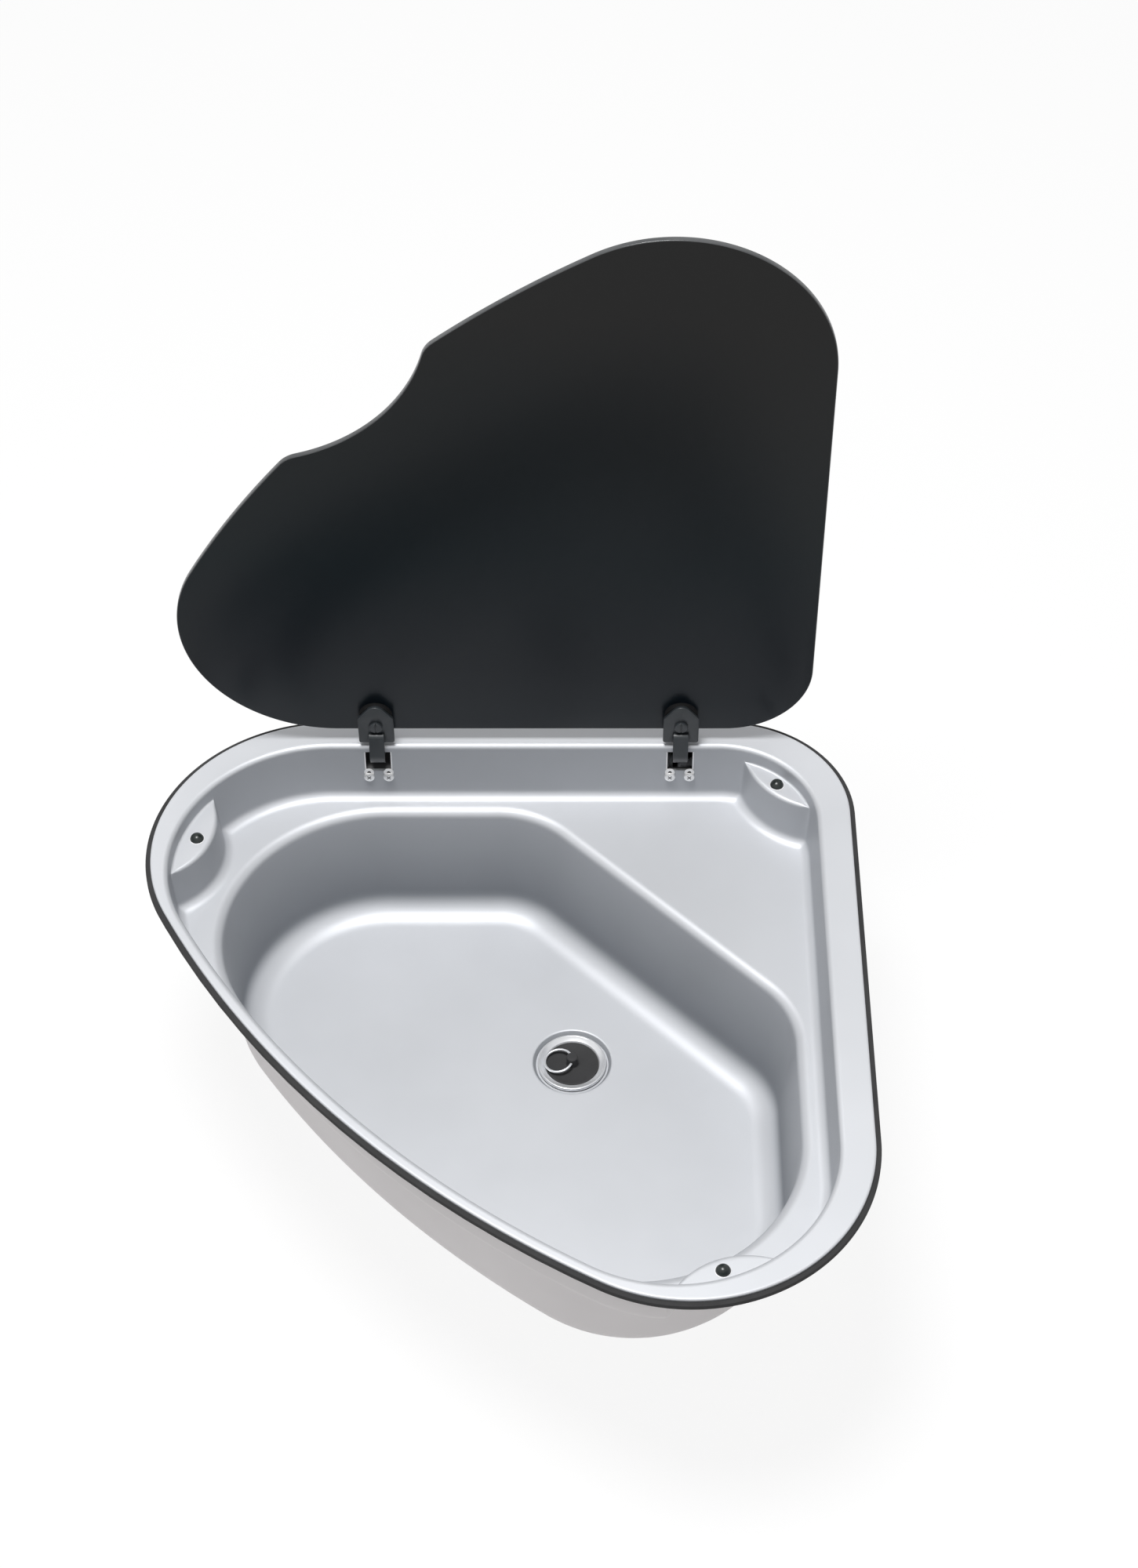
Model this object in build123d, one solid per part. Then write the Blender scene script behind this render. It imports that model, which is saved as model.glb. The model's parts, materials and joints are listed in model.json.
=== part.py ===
from build123d import *
import math
import os

# Driving dimensions, in millimetres and degrees.
# The two square sides of the rim meet at a virtual corner. Every plan outline below is given as
# distances from that corner: inset from the square sides, and reach along them.

sheet = 0.8                     # steel of the pressed bowl
rim_leg = 500.0                 # steel rim, corner to the far end of a square side
rim_acute_radius = 123.8
rim_corner_radius = 88.0
rim_bulge = 26.65               # how far the long side bows out past a straight line
rim_lip = 2.2                   # height of the turned-down edge
rim_edge_radius = 1.5

seal_proud = 3.5                # how far the seal stands out past the steel
seal_drop = 6.0                 # rim top to the underside of the seal
seal_under = 9.0                # how far the seal reaches in under the rim
seal_gap = 0.1

recess_inset = 24.0             # square sides of the recess wall, at rim height
recess_end_margin = 13.3        # rim's far ends to the recess wall
recess_side_margin = 8.8        # the same at the middle of the long side
recess_acute_step = 13.7        # how much tighter its acute corners are than the rim's
recess_corner_step = 18.0
recess_depth = 50.6             # rim top to the ledge
recess_draft = 3.0
mouth_radius = 4.0              # rim to recess wall
ledge_radius = 8.0              # recess wall to ledge

bowl_inset = 44.1               # square sides of the bowl wall, at ledge height
bowl_end_margin = 36.0          # recess wall to the bowl wall at the far ends
bowl_side_margin = 19.1         # the same at the middle of the long side
bowl_acute_step = 4.1           # how much wider its acute corners are than the recess's
bowl_cut = 192.6               # corner to the cut-off side, along the diagonal
bowl_cut_radius = 67.7
bowl_depth = 149.0              # rim top to the floor
bowl_draft = 5.3
brim_radius = 8.0               # ledge to bowl wall
floor_radius = 21.0             # bowl wall to floor

platform_depth = 12.5           # rim top to the buffer platforms
corner_column = (14.0, 60.7)    # centre on the diagonal, radius at the platform
side_column = (25.3, 87.7, 55.3)    # past the recess's far end, from the square side, radius
column_tip_radius = 6.0

buffer_side = (16.7, 103.0)     # in from the recess's far end, from the square side
buffer_corner = 50.7
buffer_radius = 5.0
buffer_height = 4.3
buffer_stem = 2.4
buffer_tail = 5.0
buffer_barb = 3.2
buffer_tip = 1.7
buffer_hole_gap = 0.1

drain_place = 200.3             # from each square side
dish_radius = 29.0
dish_foot_radius = 26.5
waste_flange_radius = 25.0
waste_flange_thick = 2.5
waste_flange_edge = 0.7
funnel_radius = 23.4            # the flange's sloped inside
funnel_depth = 1.6
waste_gasket_thick = 1.0
waste_tail_radius = 20.7
waste_tail_length = 27.0
waste_bore = 17.4
seat_mouth = 20.1
seat_depth = 8.0
strainer_depth = 16.0
strainer_thick = 2.0
strainer_bar = 2.4
strainer_bars = 3
strainer_hub = 3.6
hole_clearance = 0.5
cut_past = 4.0                  # how far a cut runs past the sheet
lug_rise = 1.6
lug_radius = 2.6
under_gasket_thick = 2.0
under_gasket_radius = 27.0
backnut_radius = 29.0
backnut_thick = 7.0
thread_clearance = 0.1
tail_washer_thick = 2.0
outlet_flange_thick = 3.0
outlet_nut_radius = 26.0
outlet_nut_height = 16.0
spigot_radius = 14.0
spigot_wall = 2.5
spigot_length = 38.0
spigot_cone = 10.0
barb_depth = 0.9                # cut into the pipe, so that a hose or sleeve still slides on
barb_count = 3
barb_pitch = 9.5
barb_length = 5.7
barb_start = 1.0
outlet_neck = 17.0
outlet_nut_floor = 3.0

plug_top_drop = 2.2             # floor to the top of the plug
plug_gap = 0.4                  # plug to its seat in the flange
plug_depth = 7.0
knob_radius = 4.1
knob_height = 8.5
knob_edge = 1.0
ring_outer = 11.0
ring_wire = 0.9
ring_hole_height = 5.0
ring_hole_gap = 0.15
ring_rest_gap = 0.3

glass = 4.0
lid_end_gap = 1.7               # recess wall to the closed lid at the front end
lid_side_gap = 2.4              # the same at the middle of the long side
lid_corner_radius = 60.8
lid_acute_step = 2.9            # how much tighter its acute corners are than the recess's
lid_side_inset = 27.5           # rim's right side to the lid
lid_back_inset = 34.0           # rim's hinge side to the closed lid
lid_edge = 0.6
notch_depth = 22.9
notch_radius = 125.3
notch_shoulder = 14.0
buffer_gap = 0.2                # closed glass to the buffer tops
open_angle = 88.8               # the open lid leans a little towards the bowl

hinge_spacing = 222.4
pivot_inset = 15.5              # rim's hinge side to the pin
pivot_depth = 6.4               # rim top to the pin
pin_radius = 2.0
pin_clearance = 0.05
boss_radius = 4.5
arm_width = 11.0
arm_thick = 3.6
arm_sweep_radius = 12.0         # pin to the middle of the gooseneck
arm_wrap = (262.5, 309.0)       # where the gooseneck starts and ends, in degrees round the pin
arm_bend = 3.0                  # outside radius of the arm's bends
tongue_thick = 3.0
tongue_tip = 14.5               # lid's edge to the end of the tongue
riser_from = 2.0                # lid's edge to the far face of the riser
riser_thick = 3.3
arm_fit = 0.1                   # arm in the plate's pocket
plate_width = 26.0
plate_thick = 2.6
plate_back = 8.3                # plate past the lid's edge
plate_length = 37.3
plate_shoulder = 25.1           # back end to where the sloped top starts
plate_peak = 7.0                # radius of the rounded peak
plate_corner = 2.0
plate_edge = 0.8
window_far = 0.8                # the riser's window past the riser, towards the plate's tip
window_near = 1.5               # and towards the hinge
pad_thick = 3.9
pad_inset = 1.0
hinge_hole = 4.0                # radius of the hole in the glass
screw_inset = 9.4               # lid's edge to the hinge screw
screw_radius = 2.5
screw_head_radius = 4.75
screw_head_height = 2.2
screw_head_edge = 0.7
slot_wide = 1.2
slot_deep = 1.0
cap_radius = 11.0
cap_thick = 3.0
cap_edge = 1.0
cap_hole = 2.2                  # how deep the hinge screw goes into the cap

slot_width = 20.4
slot_top = 5.7                  # rim top to the upper edge of the slot in the wall
slot_bottom = 24.8
bracket_sheet = 1.2
bracket_foot = 37.0             # rim top to the bracket's lower end
bracket_gap = 0.1
cheek_nose = 5.5                # pin to the cheek's back edge
bush_radius = 3.4
side_play = 0.2
fixing_spacing = 14.4
fixing_depth = 30.0
fixing_radius = 2.0
fixing_hole_gap = 0.2
fixing_head_radius = 3.9
fixing_head_height = 2.4
fixing_length = 9.0
collar_radius = 3.5             # threaded collars behind the bracket
collar_height = 2.5
cheek_top = 1.5                 # rim top to the cheeks
cheek_foot = 24.0
cheek_corner = (2.0, 2.2)       # clears the bend under the rim: in from the wall, below the rim
bracket_head = 4.4              # rim top to the bracket's upper edge
pin_head_radius = 3.0
pin_head = 1.0
cross_length = 4.4
cross_wide = 1.0
cross_deep = 1.2

# Worked out from the above. The worktop is at z = 0, the middle of the hinge side at x = y = 0.

rim_top = seal_drop
corner_x = (rim_leg - rim_acute_radius + rim_corner_radius) / 2
recess_reach = rim_leg - recess_end_margin
bowl_reach = recess_reach - bowl_end_margin
lid_leg = recess_reach - lid_end_gap - lid_back_inset
pivot = (0.0, -pivot_inset, rim_top - pivot_depth)
hinge_axis = Axis(pivot, (1, 0, 0))
floor_top = rim_top - bowl_depth
dish_depth = waste_flange_thick + waste_gasket_thick
drain = (corner_x - drain_place, -drain_place)
platform_top = rim_top - platform_depth
glass_under = platform_top + buffer_height + buffer_gap
hinge_places = (-hinge_spacing / 2, hinge_spacing / 2)
buffer_end = recess_reach - buffer_side[0]
buffer_places = ((buffer_end, buffer_side[1]), (buffer_corner, buffer_corner),
                 (buffer_side[1], buffer_end))


def plan(u, v, z=0.0):
    """A point given by its distances from the two square sides."""
    return Vector(corner_x - u, -v, z)


# Plan outlines: (inset, reach, acute radius, middle, corner radius, cut). Both square sides, the
# two far corners and the long side are alike about the diagonal. cut is None where the back corner
# is simply rounded, and otherwise the distance of a straight side that cuts it off.

def bowed(inset, reach, acute, bulge):
    """Corner to the middle of a long side that bows out past a straight line by the bulge."""
    return (reach + inset) / math.sqrt(2) + acute + bulge


rim_middle = bowed(0.0, rim_leg, rim_acute_radius, rim_bulge)
rim_outline = (0.0, rim_leg, rim_acute_radius, rim_middle, rim_corner_radius, None)
recess_acute = rim_acute_radius - recess_acute_step
recess_middle = rim_middle - recess_side_margin
recess_corner = rim_corner_radius - recess_corner_step
recess_outline = (recess_inset, recess_reach, recess_acute, recess_middle, recess_corner, None)
bowl_acute = recess_acute + bowl_acute_step
bowl_middle = recess_middle - bowl_side_margin
bowl_outline = (bowl_inset, bowl_reach, bowl_acute, bowl_middle, bowl_cut_radius, bowl_cut)
lid_middle = recess_middle - lid_side_gap - (lid_side_inset + lid_back_inset) / math.sqrt(2)
lid_outline = (0.0, lid_leg, recess_acute - lid_acute_step, lid_middle, lid_corner_radius, None)


def grown(outline, distance):
    """The same outline moved outwards all round."""
    inset, reach, acute, middle, corner, cut = outline
    moved_cut = None if cut is None else cut - distance
    return (
        inset - distance, reach + distance, acute + distance,
        middle + distance, corner + distance, moved_cut,
    )


def corner_edges(inset, corner, cut, at):
    """The rounded or cut-off back corner, from the right side round to the hinge side."""
    if cut is None:
        near = inset + corner * (1 - math.sqrt(0.5))
        start = inset + corner
        arc = Edge.make_three_point_arc(at(inset, start), at(near, near), at(start, inset))
        return [arc], start
    meet = cut * math.sqrt(2) - inset
    tangent = corner * math.tan(math.radians(22.5))
    start = meet + tangent
    slant = tangent / math.sqrt(2)
    half_u = start - corner * math.sin(math.radians(22.5))
    half_v = inset + corner * (1 - math.cos(math.radians(22.5)))
    side_u, side_v = meet - slant, inset + slant
    right_arc = Edge.make_three_point_arc(at(inset, start), at(half_v, half_u), at(side_v, side_u))
    slope = Edge.make_line(at(side_v, side_u), at(side_u, side_v))
    back_arc = Edge.make_three_point_arc(at(side_u, side_v), at(half_u, half_v), at(start, inset))
    return [right_arc, slope, back_arc], start


def outline_wire(outline, z, shift=(0.0, 0.0)):
    """A closed plan outline at one height."""
    inset, reach, acute, middle, corner, cut = outline

    def at(u, v):
        return plan(u + shift[0], v + shift[1], z)

    turn_u, turn_v = reach - acute, inset + acute
    short = middle - acute
    behind = (turn_u**2 + turn_v**2 - short**2) / (2 * math.sqrt(2) * short - 2 * (turn_u + turn_v))
    bow = middle + behind * math.sqrt(2)
    along = math.hypot(turn_u + behind, turn_v + behind)
    meet_u = bow * (turn_u + behind) / along - behind
    meet_v = bow * (turn_v + behind) / along - behind
    half = (math.atan2(turn_v + behind, turn_u + behind) - math.pi / 2) / 2
    half_u = turn_u + acute * math.cos(half)
    half_v = turn_v + acute * math.sin(half)
    centre = middle / math.sqrt(2)
    corner_part, start = corner_edges(inset, corner, cut, at)
    far = Edge.make_three_point_arc(at(turn_u, inset), at(half_u, half_v), at(meet_u, meet_v))
    long_side = Edge.make_three_point_arc(at(meet_u, meet_v), at(centre, centre), at(meet_v, meet_u))
    near = Edge.make_three_point_arc(at(meet_v, meet_u), at(half_v, half_u), at(inset, turn_u))
    hinge_side = Edge.make_line(at(start, inset), at(turn_u, inset))
    right_side = Edge.make_line(at(inset, turn_u), at(inset, start))
    return Wire([hinge_side, far, long_side, near, right_side] + corner_part)


def slab(outline, low, high, shift=(0.0, 0.0)):
    """A straight-sided solid with a plan outline."""
    return Solid.extrude(Face(outline_wire(outline, low, shift)), Vector(0, 0, high - low))


def tapered(outline, high, low, draft):
    """A solid whose walls lean in on the way down."""
    foot = grown(outline, -(high - low) * math.tan(math.radians(draft)))
    return Solid.make_loft([outline_wire(outline, high), outline_wire(foot, low)], ruled=True)


def edges_on(solid, wire):
    """The solid's edges that lie along a wire."""
    return [edge for edge in solid.edges() if wire.distance_to(edge.position_at(0.5)) < 0.05
            and wire.distance_to(edge.position_at(0.1)) < 0.05]


def edges_at(solid, z):
    return [edge for edge in solid.edges()
            if abs(edge.position_at(0.3).Z - z) < 0.01 and abs(edge.position_at(0.8).Z - z) < 0.01]


def disc(radius, low, high, centre):
    return Solid.make_cylinder(radius, high - low, Plane((centre[0], centre[1], low)))


def ring_solid(outer, inner, low, high, centre):
    return disc(outer, low, high, centre) - disc(inner, low, high, centre)


def cone(low_radius, high_radius, low, high, centre):
    return Solid.make_cone(low_radius, high_radius, high - low, Plane((centre[0], centre[1], low)))


def across(points, x_middle, width):
    """A flat side profile, given as (y, z) points, made solid along x."""
    corners = [Vector(x_middle - width / 2, y, z) for y, z in points]
    return Solid.extrude(Face(Wire.make_polygon(corners)), Vector(width, 0, 0))


def rod_x(radius, x_middle, width, y, z):
    return Solid.make_cylinder(radius, width, Plane((x_middle - width / 2, y, z), z_dir=(1, 0, 0)))


# The pressed bowl. Each skin of the sheet is the space inside it, moved out by grow.

def column_places():
    near, radius = corner_column
    far_u, far_v, side = recess_reach + side_column[0], side_column[1], side_column[2]
    return [(plan(near, near), radius), (plan(far_u, far_v), side), (plan(far_v, far_u), side)]


def recess_space(grow):
    """The recess down to the ledge, with the three columns left standing."""
    lean = math.tan(math.radians(recess_draft))
    mouth = grown(recess_outline, grow)
    top = platform_top - grow
    foot = rim_top - recess_depth - grow
    upper = tapered(mouth, rim_top, top, recess_draft)
    lower = tapered(grown(mouth, -(rim_top - top) * lean), top, foot, recess_draft)
    tips = []
    for centre, size in column_places():
        radius = size - grow
        lower -= cone(radius + (top - foot) * lean, radius, foot, top, (centre.X, centre.Y))
    for edge in lower.edges():
        ends = [edge.position_at(0), edge.position_at(1)]
        upright = abs(ends[0].Z - ends[1].Z) > 1
        for centre, size in column_places():
            high = max(ends, key=lambda point: point.Z)
            if upright and abs(math.hypot(high.X - centre.X, high.Y - centre.Y) - size + grow) < 0.01:
                tips.append(edge)
    lower = lower.fillet(column_tip_radius, tips)
    lower = lower.fillet(ledge_radius + grow, edges_at(lower, foot))
    return upper + lower


def bowl_space(grow):
    """The bowl below the ledge, with the dish for the waste."""
    high = rim_top - recess_depth - grow
    low = floor_top - grow
    space = tapered(grown(bowl_outline, grow), high, low, bowl_draft)
    space = space.fillet(floor_radius + grow, edges_at(space, low))
    dish = cone(dish_foot_radius + grow, dish_radius + grow, low - dish_depth, low, drain)
    return space + dish


def make_sink_bowl():
    under = -sheet
    ledge = rim_top - recess_depth
    lip = slab(rim_outline, rim_top - rim_lip, rim_top)
    lip = lip.fillet(rim_edge_radius, edges_at(lip, rim_top))
    hollow = slab(grown(rim_outline, under), rim_top - rim_lip, rim_top - sheet)
    hollow = hollow.fillet(rim_edge_radius - sheet, edges_at(hollow, rim_top - sheet))
    outer = recess_space(sheet) + bowl_space(sheet)
    brim = outline_wire(grown(bowl_outline, sheet), ledge - sheet)
    outer = outer.fillet(brim_radius - sheet, edges_on(outer, brim))
    body = (lip - hollow) + outer
    body = body - recess_space(0.0)
    body = body - bowl_space(0.0)
    brim = outline_wire(bowl_outline, ledge)
    body = body.fillet(brim_radius, edges_on(body, brim))
    mouth = outline_wire(recess_outline, rim_top)
    body = body.fillet(mouth_radius, edges_on(body, mouth))
    lean = sheet * math.tan(math.radians(recess_draft))
    collar = outline_wire(grown(recess_outline, sheet - lean), rim_top - sheet)
    body = body.fillet(mouth_radius - sheet, edges_on(body, collar))
    for x in hinge_places:
        body -= wall_slot(x)
        for side in (-1, 1):
            x_hole = x + side * fixing_spacing / 2
            body -= fixing_rod(fixing_radius + fixing_hole_gap, x_hole, cut_past, cut_past)
    for place in buffer_places:
        centre = plan(*place)
        low = platform_top - sheet - cut_past
        body -= disc(buffer_stem + buffer_hole_gap, low, platform_top + cut_past, (centre.X, centre.Y))
    low = floor_top - dish_depth - sheet - cut_past
    return body - disc(waste_tail_radius + hole_clearance, low, floor_top, drain)


def wall_y(depth, outside=0.0):
    """The recess wall on the hinge side, at a depth below the rim."""
    return -(recess_inset - outside + depth * math.tan(math.radians(recess_draft)))


def wall_slot(x):
    """The opening in the recess wall that the hinge arm swings through."""
    return slot_box(x, wall_y(slot_bottom) - cut_past, wall_y(slot_top, sheet) + cut_past)


def slot_box(x, y_from, y_to):
    corner = Plane((x - slot_width / 2, y_from, rim_top - slot_bottom))
    return Solid.make_box(slot_width, y_to - y_from, slot_bottom - slot_top, corner)


def fixing_rod(radius, x, out, back):
    """A rod square to the recess wall, from out in front of its face to back behind it."""
    face = (x, wall_y(fixing_depth), rim_top - fixing_depth)
    lean = math.radians(recess_draft)
    direction = Vector(0, math.cos(lean), -math.sin(lean))
    start = Vector(*face) - direction * out
    return Solid.make_cylinder(radius, out + back, Plane(start, z_dir=direction))


def make_rim_seal():
    low = rim_top - seal_drop
    outside = slab(grown(rim_outline, seal_proud), low, rim_top - rim_lip - seal_gap)
    inside = slab(grown(rim_outline, -sheet - seal_gap), low, rim_top - sheet - seal_gap)
    inside = inside.fillet(rim_edge_radius - sheet, edges_at(inside, rim_top - sheet - seal_gap))
    hollow = slab(grown(rim_outline, -seal_under), low - 1, rim_top)
    beside_wall = slab(grown(recess_outline, mouth_radius + seal_gap), low - 1, rim_top)
    return (outside + inside) - hollow - beside_wall


def make_buffer(place):
    centre = plan(*place)
    middle = (centre.X, centre.Y)
    dome_radius = (buffer_radius**2 + buffer_height**2) / (2 * buffer_height)
    ball_centre = (centre.X, centre.Y, platform_top + buffer_height - dome_radius)
    ball = Solid.make_sphere(dome_radius, Plane(ball_centre))
    dome = ball & disc(2 * buffer_radius, platform_top, platform_top + 2 * buffer_radius, middle)
    under = platform_top - sheet
    stem = disc(buffer_stem, under, platform_top, middle)
    barb = cone(buffer_tip, buffer_barb, under - buffer_tail, under, middle)
    return dome + stem + barb


# The waste, from the bowl floor down.

flange_top = floor_top
flange_under = floor_top - waste_flange_thick
dish_floor = floor_top - dish_depth
dish_under = dish_floor - sheet
backnut_top = dish_under - under_gasket_thick
tail_end = floor_top - waste_tail_length
washer_end = tail_end - tail_washer_thick
outlet_flange_end = washer_end - outlet_flange_thick
spigot_end = outlet_flange_end - spigot_cone - spigot_length


def make_waste_flange():
    rim = disc(waste_flange_radius, flange_under, flange_top, drain)
    rim = rim.fillet(waste_flange_edge, edges_at(rim, flange_top))
    tail = disc(waste_tail_radius, tail_end, flange_under, drain)
    seat_top = flange_top - funnel_depth
    funnel = cone(seat_mouth, funnel_radius, seat_top, flange_top, drain)
    seat = cone(waste_bore, seat_mouth, seat_top - seat_depth, seat_top, drain)
    bore = disc(waste_bore, tail_end - cut_past, seat_top - seat_depth, drain)
    shell = (rim + tail) - funnel - seat - bore
    strainer_top = flange_top - strainer_depth
    strainer_low = strainer_top - strainer_thick
    half = (waste_bore + waste_tail_radius) / 2
    cross = disc(strainer_hub, strainer_low, strainer_top, drain)
    for index in range(strainer_bars):
        corner = Plane((-half, -strainer_bar / 2, strainer_low))
        bar = Solid.make_box(2 * half, strainer_bar, strainer_thick, corner)
        bar = bar.rotate(Axis.Z, 180 * index / strainer_bars)
        cross += bar.moved(Location((drain[0], drain[1], 0)))
    return shell + cross


def make_waste_gasket():
    inner = waste_tail_radius + thread_clearance
    return ring_solid(waste_flange_radius, inner, dish_floor, flange_under, drain)


def make_waste_under_gasket():
    inner = waste_tail_radius + thread_clearance
    return ring_solid(under_gasket_radius, inner, backnut_top, dish_under, drain)


def lugged_nut(outer, inner, low, high, lugs):
    """A round nut with finger lugs round its edge."""
    nut = disc(outer - lug_rise, low, high, drain)
    for index in range(lugs):
        turn = 2 * math.pi * index / lugs
        reach = outer - lug_radius
        place = (drain[0] + reach * math.cos(turn), drain[1] + reach * math.sin(turn))
        nut += disc(lug_radius, low, high, place)
    return nut - disc(inner, low - cut_past, high + cut_past, drain)


def make_waste_backnut():
    low = backnut_top - backnut_thick
    return lugged_nut(backnut_radius, waste_tail_radius + thread_clearance, low, backnut_top, 8)


def make_tail_washer():
    return ring_solid(waste_tail_radius, waste_bore, washer_end, tail_end, drain)


def make_outlet_spigot():
    flange = disc(waste_tail_radius, outlet_flange_end, washer_end, drain)
    cone_end = outlet_flange_end - spigot_cone
    shoulder = cone(spigot_radius, outlet_neck, cone_end, outlet_flange_end, drain)
    pipe = disc(spigot_radius, spigot_end, cone_end, drain)
    body = flange + shoulder + pipe
    for index in range(barb_count):
        low = spigot_end + barb_start + index * barb_pitch
        barb = cone(spigot_radius - barb_depth, spigot_radius, low, low + barb_length, drain)
        body -= disc(spigot_radius + cut_past, low, low + barb_length, drain) - barb
    bore_radius = spigot_radius - spigot_wall
    mouth_radius_inside = outlet_neck - spigot_wall
    funnel = cone(bore_radius, mouth_radius_inside, cone_end, outlet_flange_end, drain)
    mouth = disc(mouth_radius_inside, outlet_flange_end, washer_end + cut_past, drain)
    return body - disc(bore_radius, spigot_end - cut_past, cone_end, drain) - funnel - mouth


def make_outlet_nut():
    """The union nut: threads on the tail and draws the spigot's flange up."""
    high = outlet_flange_end + outlet_nut_height - outlet_nut_floor
    low = outlet_flange_end - outlet_nut_floor
    inner = waste_tail_radius + thread_clearance
    nut = lugged_nut(outlet_nut_radius, outlet_neck + thread_clearance, low, high, 8)
    return nut - disc(inner, outlet_flange_end, high + cut_past, drain)


# The plug and its ring.

plug_top = floor_top - plug_top_drop
ring_centre_radius = ring_outer - ring_wire
ring_hole_z = plug_top + ring_hole_height


def make_plug():
    slope = (seat_mouth - waste_bore) / seat_depth
    below_mouth = plug_top_drop - funnel_depth
    top_radius = seat_mouth - slope * below_mouth - plug_gap
    foot_radius = top_radius - slope * plug_depth
    body = cone(foot_radius, top_radius, plug_top - plug_depth, plug_top, drain)
    knob = disc(knob_radius, plug_top, plug_top + knob_height, drain)
    knob = knob.fillet(knob_edge, edges_at(knob, plug_top + knob_height))
    hole = ring_wire + ring_hole_gap
    bend = ring_centre_radius - math.sqrt(ring_centre_radius**2 - knob_radius**2)
    for side in (-1, 1):
        mouth = Plane((drain[0], drain[1], ring_hole_z), z_dir=(0, side, 0))
        flare = hole + bend + ring_hole_gap
        knob -= Solid.make_cone(hole, flare, knob_radius + ring_hole_gap, mouth)
    return body + knob


def make_plug_ring():
    """The ring lies over to the left, its far side just above the flange's slope."""
    slope = math.atan2(funnel_depth, funnel_radius - seat_mouth)
    far = 2 * ring_centre_radius - seat_mouth
    rest = (ring_wire + ring_rest_gap) / math.cos(slope) + far * math.tan(slope)
    drop = ring_hole_z - (flange_top - funnel_depth + rest)
    tilt = math.degrees(math.asin(drop / (2 * ring_centre_radius)))
    centre = (drain[0] - ring_centre_radius, drain[1], ring_hole_z)
    ring = Solid.make_torus(ring_centre_radius, ring_wire, Plane(centre))
    hinge = Axis((drain[0], drain[1], ring_hole_z), (0, 1, 0))
    return ring.rotate(hinge, -tilt)


# The lid and its hinges, drawn closed and swung open about the hinge pins.

plate_under = glass_under - pad_thick - plate_thick
lid_edge_y = -lid_back_inset
screw_y = lid_edge_y - screw_inset


def opened(shape):
    return shape.rotate(hinge_axis, -open_angle)


def make_glass_lid():
    shift = (lid_side_inset, lid_back_inset)
    lid = slab(lid_outline, glass_under, glass_under + glass, shift)
    notch_place = (lid_middle + notch_radius - notch_depth) / math.sqrt(2)
    notch_centre = plan(notch_place + shift[0], notch_place + shift[1])
    low, high = glass_under - cut_past, glass_under + glass + cut_past
    lid -= disc(notch_radius, low, high, (notch_centre.X, notch_centre.Y))
    shoulders = []
    for edge in lid.edges():
        point = edge.position_at(0.5)
        away = math.hypot(point.X - notch_centre.X, point.Y - notch_centre.Y)
        upright = abs(edge.position_at(0).Z - edge.position_at(1).Z) > glass / 2
        if upright and abs(away - notch_radius) < 0.01:
            shoulders.append(edge)
    lid = lid.fillet(notch_shoulder, shoulders)
    faces = edges_at(lid, glass_under) + edges_at(lid, glass_under + glass)
    lid = lid.chamfer(lid_edge, None, faces)
    for x in hinge_places:
        lid -= disc(hinge_hole, low, high, (x, screw_y))
    return lid


def rounding(at, start, middle, end):
    return Edge.make_three_point_arc(at(*start), at(*middle), at(*end))


def square_back(at, half, back, shoulder):
    """The hinge plate's square end and its two sides, up to the shoulders."""
    corner = plate_corner
    bow = corner * (1 - math.sqrt(0.5))
    return [
        Edge.make_line(at(-half, shoulder), at(-half, back - corner)),
        rounding(at, (-half, back - corner), (bow - half, back - bow), (corner - half, back)),
        Edge.make_line(at(corner - half, back), at(half - corner, back)),
        rounding(at, (half - corner, back), (half - bow, back - bow), (half, back - corner)),
        Edge.make_line(at(half, back - corner), at(half, shoulder)),
    ]


def plate_sizes(inset):
    """Half the width, and where the back, the shoulders and the tip lie along y."""
    back = lid_edge_y + plate_back
    return plate_width / 2 - inset, back - inset, back - plate_shoulder, back - plate_length + inset


def gabled_outline(z, x):
    """The plate's outline: a square back, and a gable with a rounded peak at the far end."""
    half, back, shoulder, tip = plate_sizes(0.0)

    def at(across_x, y):
        return Vector(x + across_x, y, z)

    rise = shoulder - tip
    reach = math.hypot(half, rise - plate_peak)
    pitch = math.atan2(rise - plate_peak, half) + math.asin(plate_peak / reach)
    meet_x = plate_peak * math.sin(pitch)
    meet_y = tip + plate_peak * (1 - math.cos(pitch))
    top = [
        Edge.make_line(at(half, shoulder), at(meet_x, meet_y)),
        rounding(at, (meet_x, meet_y), (0, tip), (-meet_x, meet_y)),
        Edge.make_line(at(-meet_x, meet_y), at(-half, shoulder)),
    ]
    return Wire(square_back(at, half, back, shoulder) + top)


def arched_outline(z, x, inset):
    """The pad's outline: a square back, and a round arch at the far end."""
    half, back, shoulder, tip = plate_sizes(inset)

    def at(across_x, y):
        return Vector(x + across_x, y, z)

    arch = rounding(at, (half, shoulder), (0, tip), (-half, shoulder))
    return Wire(square_back(at, half, back, shoulder) + [arch])


plate_top = plate_under + plate_thick
tongue_low = plate_top + arm_fit / 2
tongue_top = tongue_low + tongue_thick
riser_far = lid_edge_y - riser_from
riser_near = riser_far + riser_thick


def make_hinge_plate(x):
    """The plate that faces down when the lid is closed, with a window for the arm's riser."""
    plate = Solid.extrude(Face(gabled_outline(plate_under, x)), Vector(0, 0, plate_thick))
    plate = plate.fillet(plate_edge, edges_at(plate, plate_under))
    width = arm_width + 2 * arm_fit
    low, high = plate_under - cut_past, plate_top + cut_past
    plate -= across_box(x, width, riser_far - window_far, riser_near + window_near, low, high)
    return plate - disc(screw_radius + thread_clearance, low, high, (x, screw_y))


def across_box(x, width, y_from, y_to, low, high):
    return Solid.make_box(width, y_to - y_from, high - low, Plane((x - width / 2, y_from, low)))


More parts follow.
